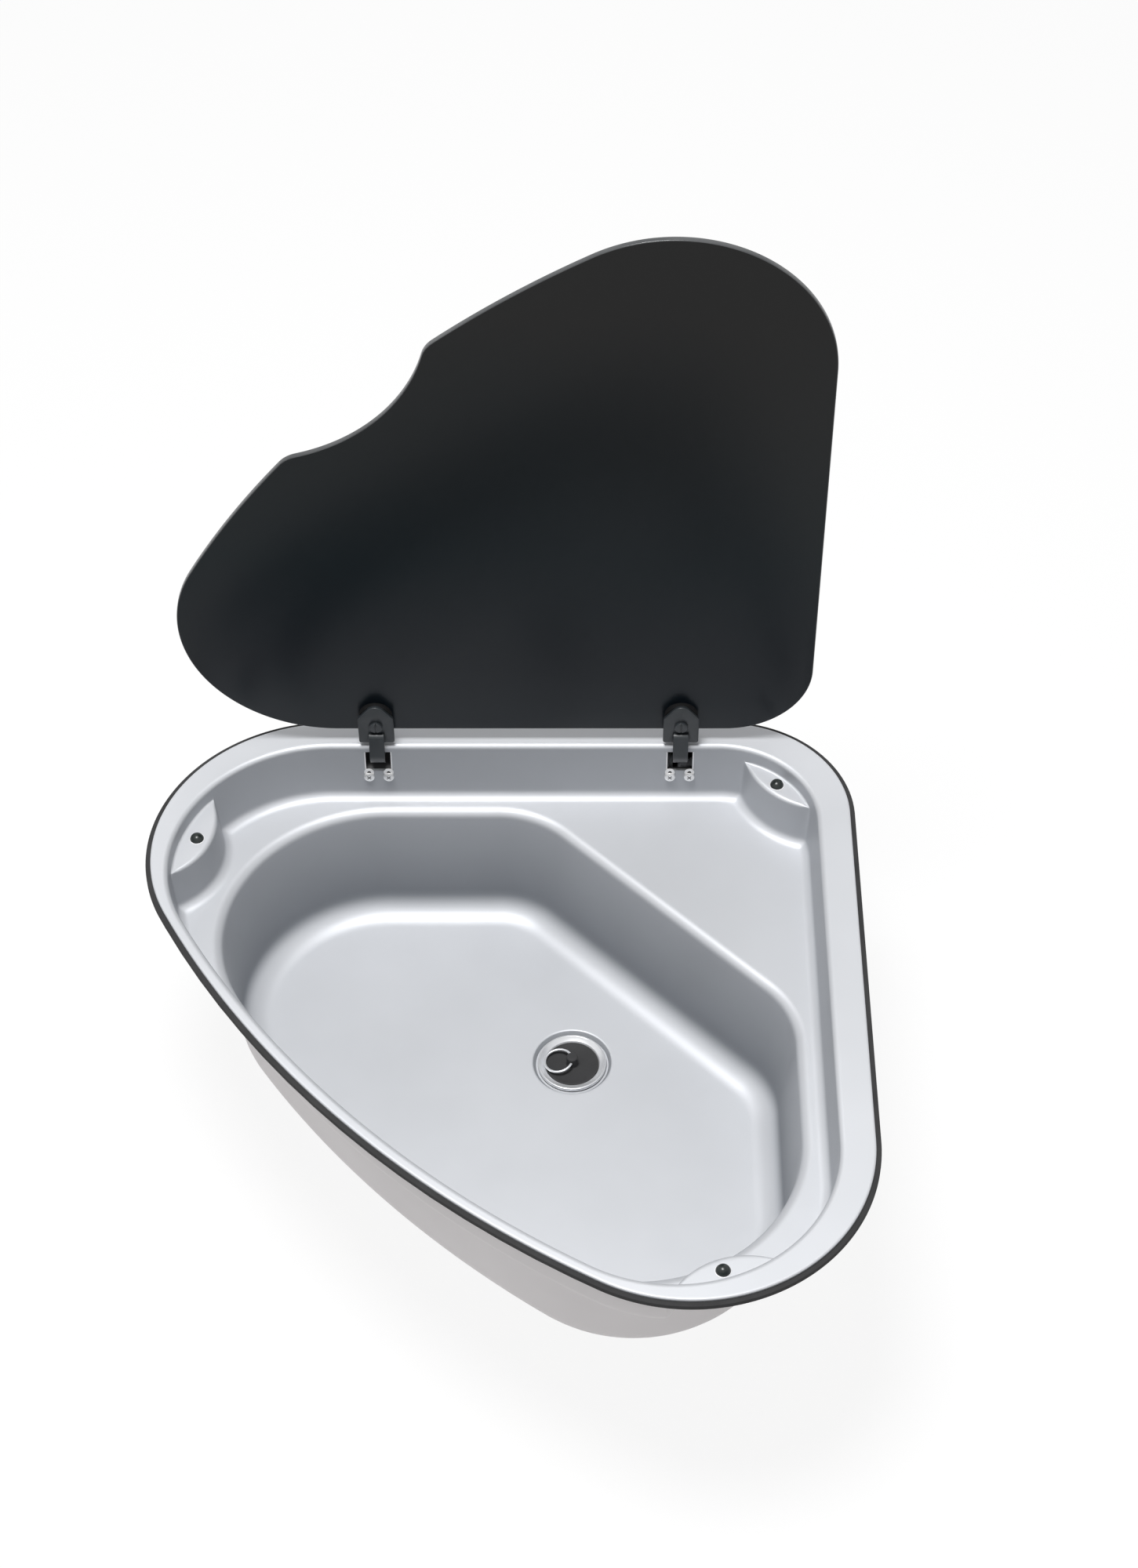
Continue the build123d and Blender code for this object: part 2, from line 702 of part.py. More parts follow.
def make_hinge_pad(x):
    """The pad between plate and glass, with the arm's pocket and the bush in the glass."""
    pad = Solid.extrude(Face(arched_outline(plate_top, x, pad_inset)), Vector(0, 0, pad_thick))
    tip = lid_edge_y - tongue_tip - arm_fit
    width = arm_width + 2 * arm_fit
    low, high = plate_top - cut_past, tongue_top + arm_fit
    pad -= across_box(x, width, tip, riser_near + arm_fit, low, high)
    bush = disc(hinge_hole - thread_clearance, glass_under, glass_under + glass, (x, screw_y))
    high = glass_under + glass + cut_past
    return (pad + bush) - disc(screw_radius + thread_clearance, low, high, (x, screw_y))


def make_hinge_cap(x):
    """The button outside the glass, threaded for the hinge screw."""
    low = glass_under + glass
    cap = disc(cap_radius, low, low + cap_thick, (x, screw_y))
    cap = cap.fillet(cap_edge, edges_at(cap, low + cap_thick))
    return cap - disc(screw_radius + thread_clearance, low - cut_past, low + cap_hole, (x, screw_y))


def make_hinge_screw(x):
    place = (x, screw_y)
    low = plate_under - screw_head_height
    head = disc(screw_head_radius, low, plate_under, place)
    head = head.fillet(screw_head_edge, edges_at(head, low))
    near, far = screw_y - screw_head_radius - cut_past, screw_y + screw_head_radius + cut_past
    head -= across_box(x, slot_wide, near, far, low - cut_past, low + slot_deep)
    end = glass_under + glass + cap_hole - thread_clearance
    return head + disc(screw_radius, plate_under, end, place)


def polar(radius, angle):
    """A point in the (y, z) plane, by distance and angle round the pin."""
    turn = math.radians(angle)
    return (pivot[1] + radius * math.cos(turn), pivot[2] + radius * math.sin(turn))


def beside_spoke(radius, side):
    """A point on one edge of the spoke that joins the gooseneck to the pin."""
    turn = math.radians(arm_wrap[1])
    y, z = polar(radius, arm_wrap[1])
    offset = side * arm_thick / 2
    return (y - offset * math.sin(turn), z + offset * math.cos(turn))


def strap_height(radius, y):
    """Height of the strap's face that runs into the gooseneck at a radius."""
    start_y, start_z = polar(radius, arm_wrap[0])
    return start_z + (y - start_y) * math.tan(math.radians(arm_wrap[0] - 270))


def make_hinge_arm(x):
    """Tongue in the plate, riser through its window, strap, gooseneck round the rim, and boss."""
    inner = arm_sweep_radius - arm_thick / 2
    outer = arm_sweep_radius + arm_thick / 2
    start, end = arm_wrap
    inner_end = end - math.degrees(math.asin(arm_thick / 2 / inner))
    outer_end = end + math.degrees(math.asin(arm_thick / 2 / outer))
    tip = lid_edge_y - tongue_tip
    elbow = (riser_far, strap_height(outer, riser_far))
    crook = (riser_near, strap_height(inner, riser_near))
    knee = (riser_near, tongue_top)
    left = x - arm_width / 2

    def at(point):
        return Vector(left, point[0], point[1])

    def lines(points):
        return [Edge.make_line(at(points[i]), at(points[i + 1])) for i in range(len(points) - 1)]

    def arc(radius, first, last):
        ends = [polar(radius, angle) for angle in (first, (first + last) / 2, last)]
        return Edge.make_three_point_arc(*[at(point) for point in ends])

    edges = lines([(tip, tongue_low), (riser_far, tongue_low), elbow, polar(outer, start)])
    edges.append(arc(outer, start, outer_end))
    spoke = [beside_spoke(0, 1), beside_spoke(0, -1)]
    edges += lines([polar(outer, outer_end)] + spoke + [polar(inner, inner_end)])
    edges.append(arc(inner, inner_end, start))
    edges += lines([polar(inner, start), crook, knee, (tip, tongue_top), (tip, tongue_low)])
    arm = Solid.extrude(Face(Wire(edges)), Vector(arm_width, 0, 0))
    bends = []
    for edge in arm.edges():
        point = edge.position_at(0.5)
        for y, z in (elbow, knee, polar(outer, outer_end)):
            if edge.length > arm_width - 0.01 and math.hypot(point.Y - y, point.Z - z) < 0.01:
                bends.append(edge)
    arm = arm.fillet(arm_bend, bends)
    arm += rod_x(boss_radius, x, arm_width, pivot[1], pivot[2])
    arm -= rod_x(pin_radius + pin_clearance, x, 2 * arm_width, pivot[1], pivot[2])
    low, high = tongue_low - arm_fit, tongue_top + arm_fit
    return arm - disc(screw_radius + thread_clearance, low, high, (x, screw_y))


# The carriers behind the recess wall, which stay with the bowl.

def make_hinge_bracket(x):
    """A plate behind the wall with two cheeks that carry the pin."""
    gap = sheet + bracket_gap
    plate_faces = [(wall_y(bracket_head, gap), bracket_head), (wall_y(bracket_foot, gap), bracket_foot),
                   (wall_y(bracket_foot, gap + bracket_sheet), bracket_foot),
                   (wall_y(bracket_head, gap + bracket_sheet), bracket_head)]
    corners = [(y, rim_top - depth) for y, depth in plate_faces]
    width = slot_width + 2 * side_play + 2 * bracket_sheet
    bracket = across(corners, x, width)
    nose = pivot[1] + cheek_nose
    cheek = [(wall_y(bracket_head, gap), bracket_head), (wall_y(0, gap) + cheek_corner[0], cheek_corner[1]),
             (wall_y(0, gap) + 2 * cheek_corner[0], cheek_top), (nose, cheek_top),
             (nose, pivot_depth + cheek_nose), (wall_y(cheek_foot, gap), cheek_foot)]
    corners = [(y, rim_top - depth) for y, depth in cheek]
    back = gap + bracket_sheet
    fixings = [x + side * fixing_spacing / 2 for side in (-1, 1)]
    for side in (-1, 1):
        bracket += across(corners, x + side * (width - bracket_sheet) / 2, bracket_sheet)
    for place in fixings:
        bracket += fixing_rod(collar_radius, place, -gap, back + collar_height)
    bracket -= slot_box(x, wall_y(slot_bottom) - cut_past, wall_y(slot_top, back) + cut_past)
    for place in fixings:
        bracket -= fixing_rod(fixing_radius + thread_clearance, place, 0, fixing_length + cut_past)
    return bracket - rod_x(pin_radius + pin_clearance, x, 2 * width, pivot[1], pivot[2])


def make_hinge_pin(x):
    width = slot_width + 2 * side_play + 2 * bracket_sheet
    pin = rod_x(pin_radius, x, width, pivot[1], pivot[2])
    for side in (-1, 1):
        pin += rod_x(pin_head_radius, x + side * (width + pin_head) / 2, pin_head, pivot[1], pivot[2])
    return pin


def make_hinge_bushes(x):
    """Two spacers on the pin that keep the arm in the middle."""
    near = arm_width / 2 + side_play
    far = slot_width / 2 + side_play
    bushes = []
    for side in (-1, 1):
        middle = x + side * (near + far) / 2
        outside = rod_x(bush_radius, middle, far - near, pivot[1], pivot[2])
        hole = rod_x(pin_radius + pin_clearance, middle, 2 * arm_width, pivot[1], pivot[2])
        bushes.append(outside - hole)
    return Compound(bushes)


def make_bracket_screws(x):
    """Two pan-head screws in front of the wall, with cross recesses."""
    screws = []
    for side in (-1, 1):
        centre = x + side * fixing_spacing / 2
        head = fixing_rod(fixing_head_radius, centre, fixing_head_height, 0)
        shank = fixing_rod(fixing_radius, centre, 0, fixing_length)
        screw = head + shank
        for turn in (0, 90):
            blade = Solid.make_box(cross_length, cross_wide, 2 * cross_deep,
                                   Plane((-cross_length / 2, -cross_wide / 2, -cross_deep)))
            blade = blade.rotate(Axis.Z, turn)
            screw -= blade.moved(screw_face(centre))
        screws.append(screw)
    return Compound(screws)


def screw_face(x):
    """The middle of a fixing screw's head, facing out of the wall."""
    lean = math.radians(recess_draft)
    direction = Vector(0, math.cos(lean), -math.sin(lean))
    place = Vector(x, wall_y(fixing_depth), rim_top - fixing_depth) - direction * fixing_head_height
    return Plane(place, x_dir=(1, 0, 0), z_dir=direction).location


def make_pieces():
    pieces = {
        "sink_bowl": make_sink_bowl(),
        "rim_seal": make_rim_seal(),
        "waste_flange": make_waste_flange(),
        "waste_gasket": make_waste_gasket(),
        "waste_under_gasket": make_waste_under_gasket(),
        "waste_backnut": make_waste_backnut(),
        "tail_washer": make_tail_washer(),
        "outlet_spigot": make_outlet_spigot(),
        "outlet_nut": make_outlet_nut(),
        "plug": make_plug(),
        "plug_ring": make_plug_ring(),
        "glass_lid": opened(make_glass_lid()),
    }
    for name, place in zip(("left", "corner", "front"), buffer_places):
        pieces["buffer_" + name] = make_buffer(place)
    for name, x in zip(("left", "right"), hinge_places):
        pieces["hinge_bracket_" + name] = make_hinge_bracket(x)
        pieces["bracket_screws_" + name] = make_bracket_screws(x)
        pieces["hinge_pin_" + name] = make_hinge_pin(x)
        pieces["hinge_bushes_" + name] = make_hinge_bushes(x)
        pieces["hinge_arm_" + name] = opened(make_hinge_arm(x))
        pieces["hinge_plate_" + name] = opened(make_hinge_plate(x))
        pieces["hinge_screw_" + name] = opened(make_hinge_screw(x))
        pieces["hinge_pad_" + name] = opened(make_hinge_pad(x))
        pieces["hinge_cap_" + name] = opened(make_hinge_cap(x))
    return pieces


os.makedirs("parts", exist_ok=True)
for node, shape in make_pieces().items():
    export_step(shape, "parts/" + node + ".step")
    print(node, round(shape.volume, 1), shape.is_valid)
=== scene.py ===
import bpy
import bmesh
import json
import math
import numpy as np
from mathutils import Matrix, Vector


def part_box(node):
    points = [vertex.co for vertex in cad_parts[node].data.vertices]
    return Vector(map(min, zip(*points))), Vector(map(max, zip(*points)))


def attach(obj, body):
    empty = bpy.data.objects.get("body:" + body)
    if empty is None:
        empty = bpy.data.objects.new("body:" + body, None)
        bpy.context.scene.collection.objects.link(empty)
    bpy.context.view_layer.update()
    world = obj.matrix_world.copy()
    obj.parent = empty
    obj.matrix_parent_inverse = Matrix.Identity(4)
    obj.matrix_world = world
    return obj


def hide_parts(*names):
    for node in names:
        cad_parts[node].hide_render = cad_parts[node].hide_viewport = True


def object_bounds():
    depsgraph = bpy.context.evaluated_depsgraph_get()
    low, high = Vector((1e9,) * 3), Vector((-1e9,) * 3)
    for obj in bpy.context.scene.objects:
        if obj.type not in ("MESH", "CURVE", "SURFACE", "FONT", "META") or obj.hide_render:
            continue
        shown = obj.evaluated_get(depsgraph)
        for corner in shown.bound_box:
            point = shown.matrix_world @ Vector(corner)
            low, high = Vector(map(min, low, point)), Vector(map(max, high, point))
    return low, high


# A corner sink for a camper: satin pressed steel, a black glass lid on two hinges, seal, waste and plug.
# Sizes are in millimetres and are turned into metres when a mesh is made.

mm = 0.001
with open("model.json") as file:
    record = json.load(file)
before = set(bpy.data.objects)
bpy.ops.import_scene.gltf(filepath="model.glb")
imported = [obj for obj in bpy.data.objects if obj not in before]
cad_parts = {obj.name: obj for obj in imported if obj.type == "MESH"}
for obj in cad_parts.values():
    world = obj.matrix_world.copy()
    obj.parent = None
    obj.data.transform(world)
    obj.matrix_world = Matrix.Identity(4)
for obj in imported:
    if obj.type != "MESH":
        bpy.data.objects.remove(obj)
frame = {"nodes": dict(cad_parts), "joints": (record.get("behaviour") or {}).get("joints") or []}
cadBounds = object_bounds()
jointOf = {joint["name"]: joint for joint in frame["joints"]}

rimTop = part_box("sink_bowl")[1].z / mm
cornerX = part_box("sink_bowl")[1].x / mm        # where the two square sides of the rim would meet
flangeLow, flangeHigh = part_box("waste_flange")
drainX = (flangeLow.x + flangeHigh.x) / 2 / mm
drainY = (flangeLow.y + flangeHigh.y) / 2 / mm
pivotY, pivotZ = (value / mm for value in jointOf["lid_hinge"]["pos_m"][1:])
openAngle = jointOf["lid_hinge"]["range_deg"][1]
hingeXs = [sum(corner.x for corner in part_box("hinge_arm_" + side)) / 2 / mm for side in ("left", "right")]
print("frame loaded,", len(frame["nodes"]), "nodes")


# ---- node helpers

def makeMaterial(name):
    material = bpy.data.materials.new(name)
    material.use_nodes = True
    shader = material.node_tree.nodes["Principled BSDF"]
    return material, material.node_tree, shader


def addNode(tree, kind, **settings):
    node = tree.nodes.new(kind)
    for key, value in settings.items():
        setattr(node, key, value)
    return node


def setInputs(node, values):
    for socket, value in values.items():
        node.inputs[socket].default_value = value


def connect(tree, *wires):
    # each wire runs from a node's output to a node's input
    for source, output, target, entry in wires:
        tree.links.new(source.outputs[output], target.inputs[entry])


def ramp(tree, low, high):
    node = addNode(tree, "ShaderNodeMapRange")
    setInputs(node, {"From Min": low, "From Max": high})
    return node


# the part of the cloud noise over which tone A turns into tone B
cloudSpan = (0.3, 0.7)


def makeGrainGroup():
    # cloudy tone and fine grain for any finish: two noises on Object coordinates
    group = bpy.data.node_groups.new("surfaceGrain", "ShaderNodeTree")
    face = group.interface
    for name, kind, value in (
        ("Tone A", "NodeSocketColor", (0.5, 0.5, 0.5, 1)), ("Tone B", "NodeSocketColor", (0.6, 0.6, 0.6, 1)),
        ("Cloud Scale", "NodeSocketFloat", 8.0), ("Grain Scale", "NodeSocketFloat", 900.0),
        ("Rough Low", "NodeSocketFloat", 0.3), ("Rough High", "NodeSocketFloat", 0.4),
    ):
        face.new_socket(name=name, in_out="INPUT", socket_type=kind).default_value = value
    for name, kind in (("Color", "NodeSocketColor"), ("Roughness", "NodeSocketFloat"),
                       ("Height", "NodeSocketFloat")):
        face.new_socket(name=name, in_out="OUTPUT", socket_type=kind)
    start, end = addNode(group, "NodeGroupInput"), addNode(group, "NodeGroupOutput")
    place = addNode(group, "ShaderNodeTexCoord")
    cloud, grain = addNode(group, "ShaderNodeTexNoise"), addNode(group, "ShaderNodeTexNoise")
    setInputs(cloud, {"Detail": 3.0, "Roughness": 0.55})
    setInputs(grain, {"Detail": 4.0, "Roughness": 0.6})
    mix = addNode(group, "ShaderNodeMix", data_type="RGBA")
    spread = ramp(group, *cloudSpan)
    rough = addNode(group, "ShaderNodeMapRange")
    connect(group,
            (place, "Object", cloud, "Vector"), (start, "Cloud Scale", cloud, "Scale"),
            (place, "Object", grain, "Vector"), (start, "Grain Scale", grain, "Scale"),
            (cloud, "Fac", spread, "Value"), (spread, "Result", mix, "Factor"),
            (start, "Tone A", mix, "A"), (start, "Tone B", mix, "B"),
            (grain, "Fac", rough, "Value"),
            (start, "Rough Low", rough, "To Min"), (start, "Rough High", rough, "To Max"),
            (mix, "Result", end, "Color"), (rough, "Result", end, "Roughness"), (grain, "Fac", end, "Height"))
    return group


grainGroup = makeGrainGroup()
bumpDepth = 0.02


def grained(name, look):
    # a Principled finish whose tone, roughness and fine bump come from the shared grain group
    material, tree, shader = makeMaterial(name)
    grain = addNode(tree, "ShaderNodeGroup", node_tree=grainGroup)
    setInputs(grain, {"Tone A": (*look["toneA"], 1), "Tone B": (*look["toneB"], 1),
                      "Cloud Scale": look["cloud"], "Grain Scale": look["grain"],
                      "Rough Low": look["rough"][0], "Rough High": look["rough"][1]})
    bump = addNode(tree, "ShaderNodeBump")
    setInputs(bump, {"Strength": look["bump"], "Distance": bumpDepth * mm})
    setInputs(shader, {"Metallic": look["metal"], "Specular IOR Level": look.get("specular", 0.5),
                       "Coat Weight": look.get("coat", 0.0), "Coat Roughness": look.get("coatRough", 0.1)})
    connect(tree, (grain, "Color", shader, "Base Color"), (grain, "Roughness", shader, "Roughness"),
            (grain, "Height", bump, "Height"), (bump, "Normal", shader, "Normal"))
    return material


finishes = {
    "satinSteel": dict(toneA=(0.625, 0.640, 0.668), toneB=(0.675, 0.690, 0.72), cloud=7, grain=1400,
                       rough=(0.45, 0.53), bump=0.05, metal=0.33),
    "paleOutside": dict(toneA=(0.68, 0.655, 0.66), toneB=(0.73, 0.705, 0.71), cloud=7, grain=1400,
                        rough=(0.5, 0.58), bump=0.05, metal=0.15),
    "darkRubber": dict(toneA=(0.034, 0.034, 0.035), toneB=(0.046, 0.046, 0.047), cloud=40, grain=700,
                       rough=(0.65, 0.8), bump=0.12, metal=0.0, specular=0.2),
    # near-black pads, also the disc painted as the shade in each fixing's keyhole
    "padBlackAndKeyholeShade": dict(toneA=(0.004, 0.004, 0.004), toneB=(0.008, 0.008, 0.009), cloud=60, grain=900,
                    rough=(0.6, 0.75), bump=0.08, metal=0.0, specular=0.2),
    # a near-white copy of the steel: painted highlight on the slots' cut edges and on the lips of the buffer
    # holes
    "paintedHighlightEdge": dict(toneA=(0.86, 0.86, 0.87), toneB=(0.92, 0.92, 0.93), cloud=60, grain=1500,
                    rough=(0.3, 0.4), bump=0.03, metal=0.2),
    "buffers": dict(toneA=(0.012, 0.016, 0.015), toneB=(0.02, 0.026, 0.024), cloud=60, grain=900,
                    rough=(0.25, 0.35), bump=0.05, metal=0.0),
    "plugRubber": dict(toneA=(0.042, 0.042, 0.043), toneB=(0.05, 0.05, 0.052), cloud=50, grain=900,
                       rough=(0.6, 0.7), bump=0.08, metal=0.0, specular=0.2),
    # the glass's edge, also the dark bars painted as the shade in the fixing screws' cross recesses
    "glassEdgeAndCrossShade": dict(toneA=(0.05, 0.053, 0.056), toneB=(0.08, 0.083, 0.086), cloud=30, grain=500,
                      rough=(0.2, 0.3), bump=0.02, metal=0.0),
    "hingeBlack": dict(toneA=(0.016, 0.020, 0.023), toneB=(0.024, 0.029, 0.033), cloud=60, grain=1200,
                       rough=(0.38, 0.48), bump=0.06, metal=0.0, coat=0.15, coatRough=0.35),
    # black moulded plastic, also the painted shade of the troughs behind the hinge slots
    "mouldedBlackAndSlotShade": dict(toneA=(0.02, 0.02, 0.021), toneB=(0.028, 0.028, 0.03), cloud=50, grain=1100,
                         rough=(0.45, 0.58), bump=0.1, metal=0.0),
    "chrome": dict(toneA=(0.84, 0.85, 0.87), toneB=(0.90, 0.91, 0.93), cloud=60, grain=1500,
                   rough=(0.26, 0.32), bump=0.01, metal=0.55),
    "brightScrew": dict(toneA=(0.80, 0.80, 0.80), toneB=(0.90, 0.90, 0.90), cloud=200, grain=2500,
                        rough=(0.25, 0.35), bump=0.05, metal=0.6),
    "zinc": dict(toneA=(0.45, 0.47, 0.48), toneB=(0.58, 0.60, 0.62), cloud=140, grain=1800,
                 rough=(0.32, 0.48), bump=0.08, metal=0.95),
}
materials = {name: grained(name, look) for name, look in finishes.items()}

# painted shade on the bowl's steel: the tone its colour is darkened towards, how level a face may be before
# it is darkened and when it is fully darkened, how strongly it is darkened on the recess wall, at the brim,
# at the well's foot and in the dish, and how far below the ledge the brim's strength is reached, and below
# the floor the foot's ends and the dish's is full
paintedShadeSteel = {"tone": (0.37, 0.383, 0.398), "flat": 0.78, "upright": 0.22,
              "recess": 0.57, "brim": 0.52, "foot": 1.0, "dish": 2.5,
              "brimBelow": 4, "footEnds": 0.2, "dishFull": 0.8}


def paintShadeOnSteel(material):
    # paints shade into the steel's colour: darker where the bowl's shade attribute, which makeBowl writes,
    # says
    tree = material.node_tree
    shader, grain = tree.nodes["Principled BSDF"], tree.nodes["Group"]
    paintedShade = addNode(tree, "ShaderNodeAttribute", attribute_name="paintedShade")
    paintedShadeMix = addNode(tree, "ShaderNodeMix", data_type="RGBA", blend_type="MULTIPLY")
    setInputs(paintedShadeMix, {"B": (*paintedShadeSteel["tone"], 1)})
    connect(tree, (paintedShade, "Fac", paintedShadeMix, "Factor"), (grain, "Color", paintedShadeMix, "A"),
            (paintedShadeMix, "Result", shader, "Base Color"))


# the satin steel gets painted shade, darker on the bowl's upright and deep faces
paintShadeOnSteel(materials["satinSteel"])

# the glass's colour by height up the lid is a painted reflection; the heights it runs between, the random
# drift's scale and strength, roughness and specular
glassLook = {
    "stops": ((0.0, (0.011, 0.017, 0.022)), (0.3, (0.005, 0.008, 0.012)), (0.55, (0.003, 0.008, 0.011)),
              (1.0, (0.013, 0.013, 0.013))),
    "low": 0.02, "high": 0.47, "cloud": 4.0, "drift": 0.35, "rough": 0.28, "specular": 0.18,
}


def makeGlass():
    # black glass with a painted reflection: lighter and bluer low on the lid, darkest above the middle, grey
    # at the top, with a slow random drift of tone
    material, tree, shader = makeMaterial("blackGlass")
    place = addNode(tree, "ShaderNodeTexCoord")
    parts = addNode(tree, "ShaderNodeSeparateXYZ")
    height = ramp(tree, glassLook["low"], glassLook["high"])
    noise = addNode(tree, "ShaderNodeTexNoise")
    setInputs(noise, {"Scale": glassLook["cloud"], "Detail": 1.0})
    drift = addNode(tree, "ShaderNodeMath", operation="MULTIPLY_ADD")
    setInputs(drift, {1: glassLook["drift"]})
    paintedReflection = addNode(tree, "ShaderNodeValToRGB")
    shades = paintedReflection.color_ramp.elements
    shades.remove(shades[1])
    for position, tone in glassLook["stops"]:
        shade = shades.new(position) if position else shades[0]
        shade.color = (*tone, 1)
    setInputs(shader, {"Roughness": glassLook["rough"], "Specular IOR Level": glassLook["specular"]})
    connect(tree, (place, "Object", parts, 0), (place, "Object", noise, "Vector"),
            (parts, "Z", height, "Value"), (noise, "Fac", drift, 0), (height, "Result", drift, 2),
            (drift, 0, paintedReflection, "Fac"), (paintedReflection, "Color", shader, "Base Color"))
    return material


materials["blackGlass"] = makeGlass()
print("materials made,", len(materials))


# ---- mesh helpers

def placed(name, data):
    made = bpy.data.objects.new(name, data)
    bpy.context.scene.collection.objects.link(made)
    return made


def finishPiece(name, mesh, body, materialNames, replaced, sharpAngle=40):
    for materialName in materialNames:
        mesh.materials.append(materials[materialName])
    piece = placed(name, mesh)
    mesh.shade_smooth()
    mesh.set_sharp_from_angle(angle=math.radians(sharpAngle))
    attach(piece, body)
    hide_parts(*replaced)


def meshFrom(name, points, faces, marks=None):
    mesh = bpy.data.meshes.new(name)
    mesh.from_pydata([tuple(point) for point in points], [], faces)
    if marks is not None:
        mesh.polygons.foreach_set("material_index", marks)
    mesh.validate()
    mesh.update()
    return mesh


def bandFaces(rows, count, wrap=False):
    # faces between rows of points that each close round; wrap joins the last row to the first
    faces = []
    for row in range(rows if wrap else rows - 1):
        here, below = row * count, (row + 1) % rows * count
        for at in range(count):
            after = (at + 1) % count
            faces.append((here + at, here + after, below + after, below + at))
    return faces


def latheMesh(name, profile, centre, segments=96, closed=True):
    # profile is (radius, height) in millimetres, spun round an upright axis; a radius of 0 is a pole
    points, faces, rows = [], [], []
    for radius, height in profile:
        if radius < 1e-6:
            rows.append([len(points)])
            points.append((centre[0] * mm, centre[1] * mm, height * mm))
            continue
        rows.append(list(range(len(points), len(points) + segments)))
        for index in range(segments):
            turn = 2 * math.pi * index / segments
            points.append(((centre[0] + radius * math.cos(turn)) * mm,
                           (centre[1] + radius * math.sin(turn)) * mm, height * mm))
    pairs = list(zip(rows, rows[1:] + rows[:1] if closed else rows[1:]))
    for upper, lower in pairs:
        for index in range(segments):
            nextIndex = (index + 1) % segments
            face = []
            for row, at in ((upper, index), (upper, nextIndex), (lower, nextIndex), (lower, index)):
                vertex = row[at] if len(row) > 1 else row[0]
                if vertex not in face:
                    face.append(vertex)
            if len(face) > 2:
                faces.append(face)
    mesh = meshFrom(name, points, faces)
    fixNormals(mesh)
    return mesh


def fixNormals(mesh):
    work = bmesh.new()
    work.from_mesh(mesh)
    bmesh.ops.remove_doubles(work, verts=work.verts, dist=1e-7)
    bmesh.ops.recalc_face_normals(work, faces=work.faces)
    work.to_mesh(mesh)
    work.free()


def arcPoints(centre, radius, start, end, count):
    return [(centre[0] + radius * math.cos(math.radians(start + (end - start) * step / count)),
             centre[1] + radius * math.sin(math.radians(start + (end - start) * step / count)))
            for step in range(count + 1)]


softEdges = {"segments": 3, "angle": 30}


def bevelledCopy(node, width):
    # a merged copy of a frame node with its sharp edges rounded
    mesh = frame["nodes"][node].data.copy()
    mesh.materials.clear()
    work = bmesh.new()
    work.from_mesh(mesh)
    bmesh.ops.remove_doubles(work, verts=work.verts, dist=1e-6)
    bmesh.ops.dissolve_limit(work, angle_limit=math.radians(1), verts=work.verts, edges=work.edges)
    work.to_mesh(mesh)
    work.free()
    helper = placed("helper", mesh)
    bevel = helper.modifiers.new("bevel", "BEVEL")
    bevel.width = width * mm
    bevel.segments = softEdges["segments"]
    bevel.limit_method = "ANGLE"
    bevel.angle_limit = math.radians(softEdges["angle"])
    return plainMesh(helper)


def plainMesh(helper):
    # what the object's modifiers make of it, without the object
    graph = bpy.context.evaluated_depsgraph_get()
    made = bpy.data.meshes.new_from_object(helper.evaluated_get(graph))
    bpy.data.objects.remove(helper)
    return made


# ---- plan outlines: distances u and v from the two square sides of the rim

def grown(shape, distance):
    moved = {name: shape[name] + distance for name in ("reach", "acute", "middle", "corner")}
    return dict(shape, inset=shape["inset"] - distance, **moved)


def longSide(shape):
    # the far corner's centre, and the long side's centre, radius and end angle
    turnU, turnV = shape["reach"] - shape["acute"], shape["inset"] + shape["acute"]
    short = shape["middle"] - shape["acute"]
    behind = (turnU**2 + turnV**2 - short**2) / (2 * math.sqrt(2) * short - 2 * (turnU + turnV))
    bow = shape["middle"] + behind * math.sqrt(2)
    return turnU, turnV, behind, bow, math.atan2(turnV + behind, turnU + behind)


def sweep(points, normals, centre, radius, start, end, count, inwards=False):
    for step in range(count):
        turn = start + (end - start) * step / count
        outward = (math.cos(turn), math.sin(turn))
        points.append((centre[0] + radius * outward[0], centre[1] + radius * outward[1]))
        normals.append((-outward[0], -outward[1]) if inwards else outward)


def stretch(points, normals, start, end, normal, fractions):
    for share in fractions:
        points.append((start[0] + (end[0] - start[0]) * share, start[1] + (end[1] - start[1]) * share))
        normals.append(normal)


ringSteps = {"hingeSide": 14, "farCorner": 170, "longSide": 48, "rightSide": 10, "corner": (26, 34, 26)}


def evenly(count):
    return [step / count for step in range(count)]


def hingeFractions(shape, edges):
    # steps along the hinge side that land on the edges of the hinge slots
    start, end = shape["inset"] + shape["corner"], shape["reach"] - shape["acute"]
    stops = [0.0] + [(edge - start) / (end - start) for edge in edges] + [1.0]
    fractions = []
    for low, high in zip(stops, stops[1:]):
        count = max(2, round((high - low) * ringSteps["hingeSide"]))
        fractions += [low + (high - low) * share for share in evenly(count)]
    return fractions


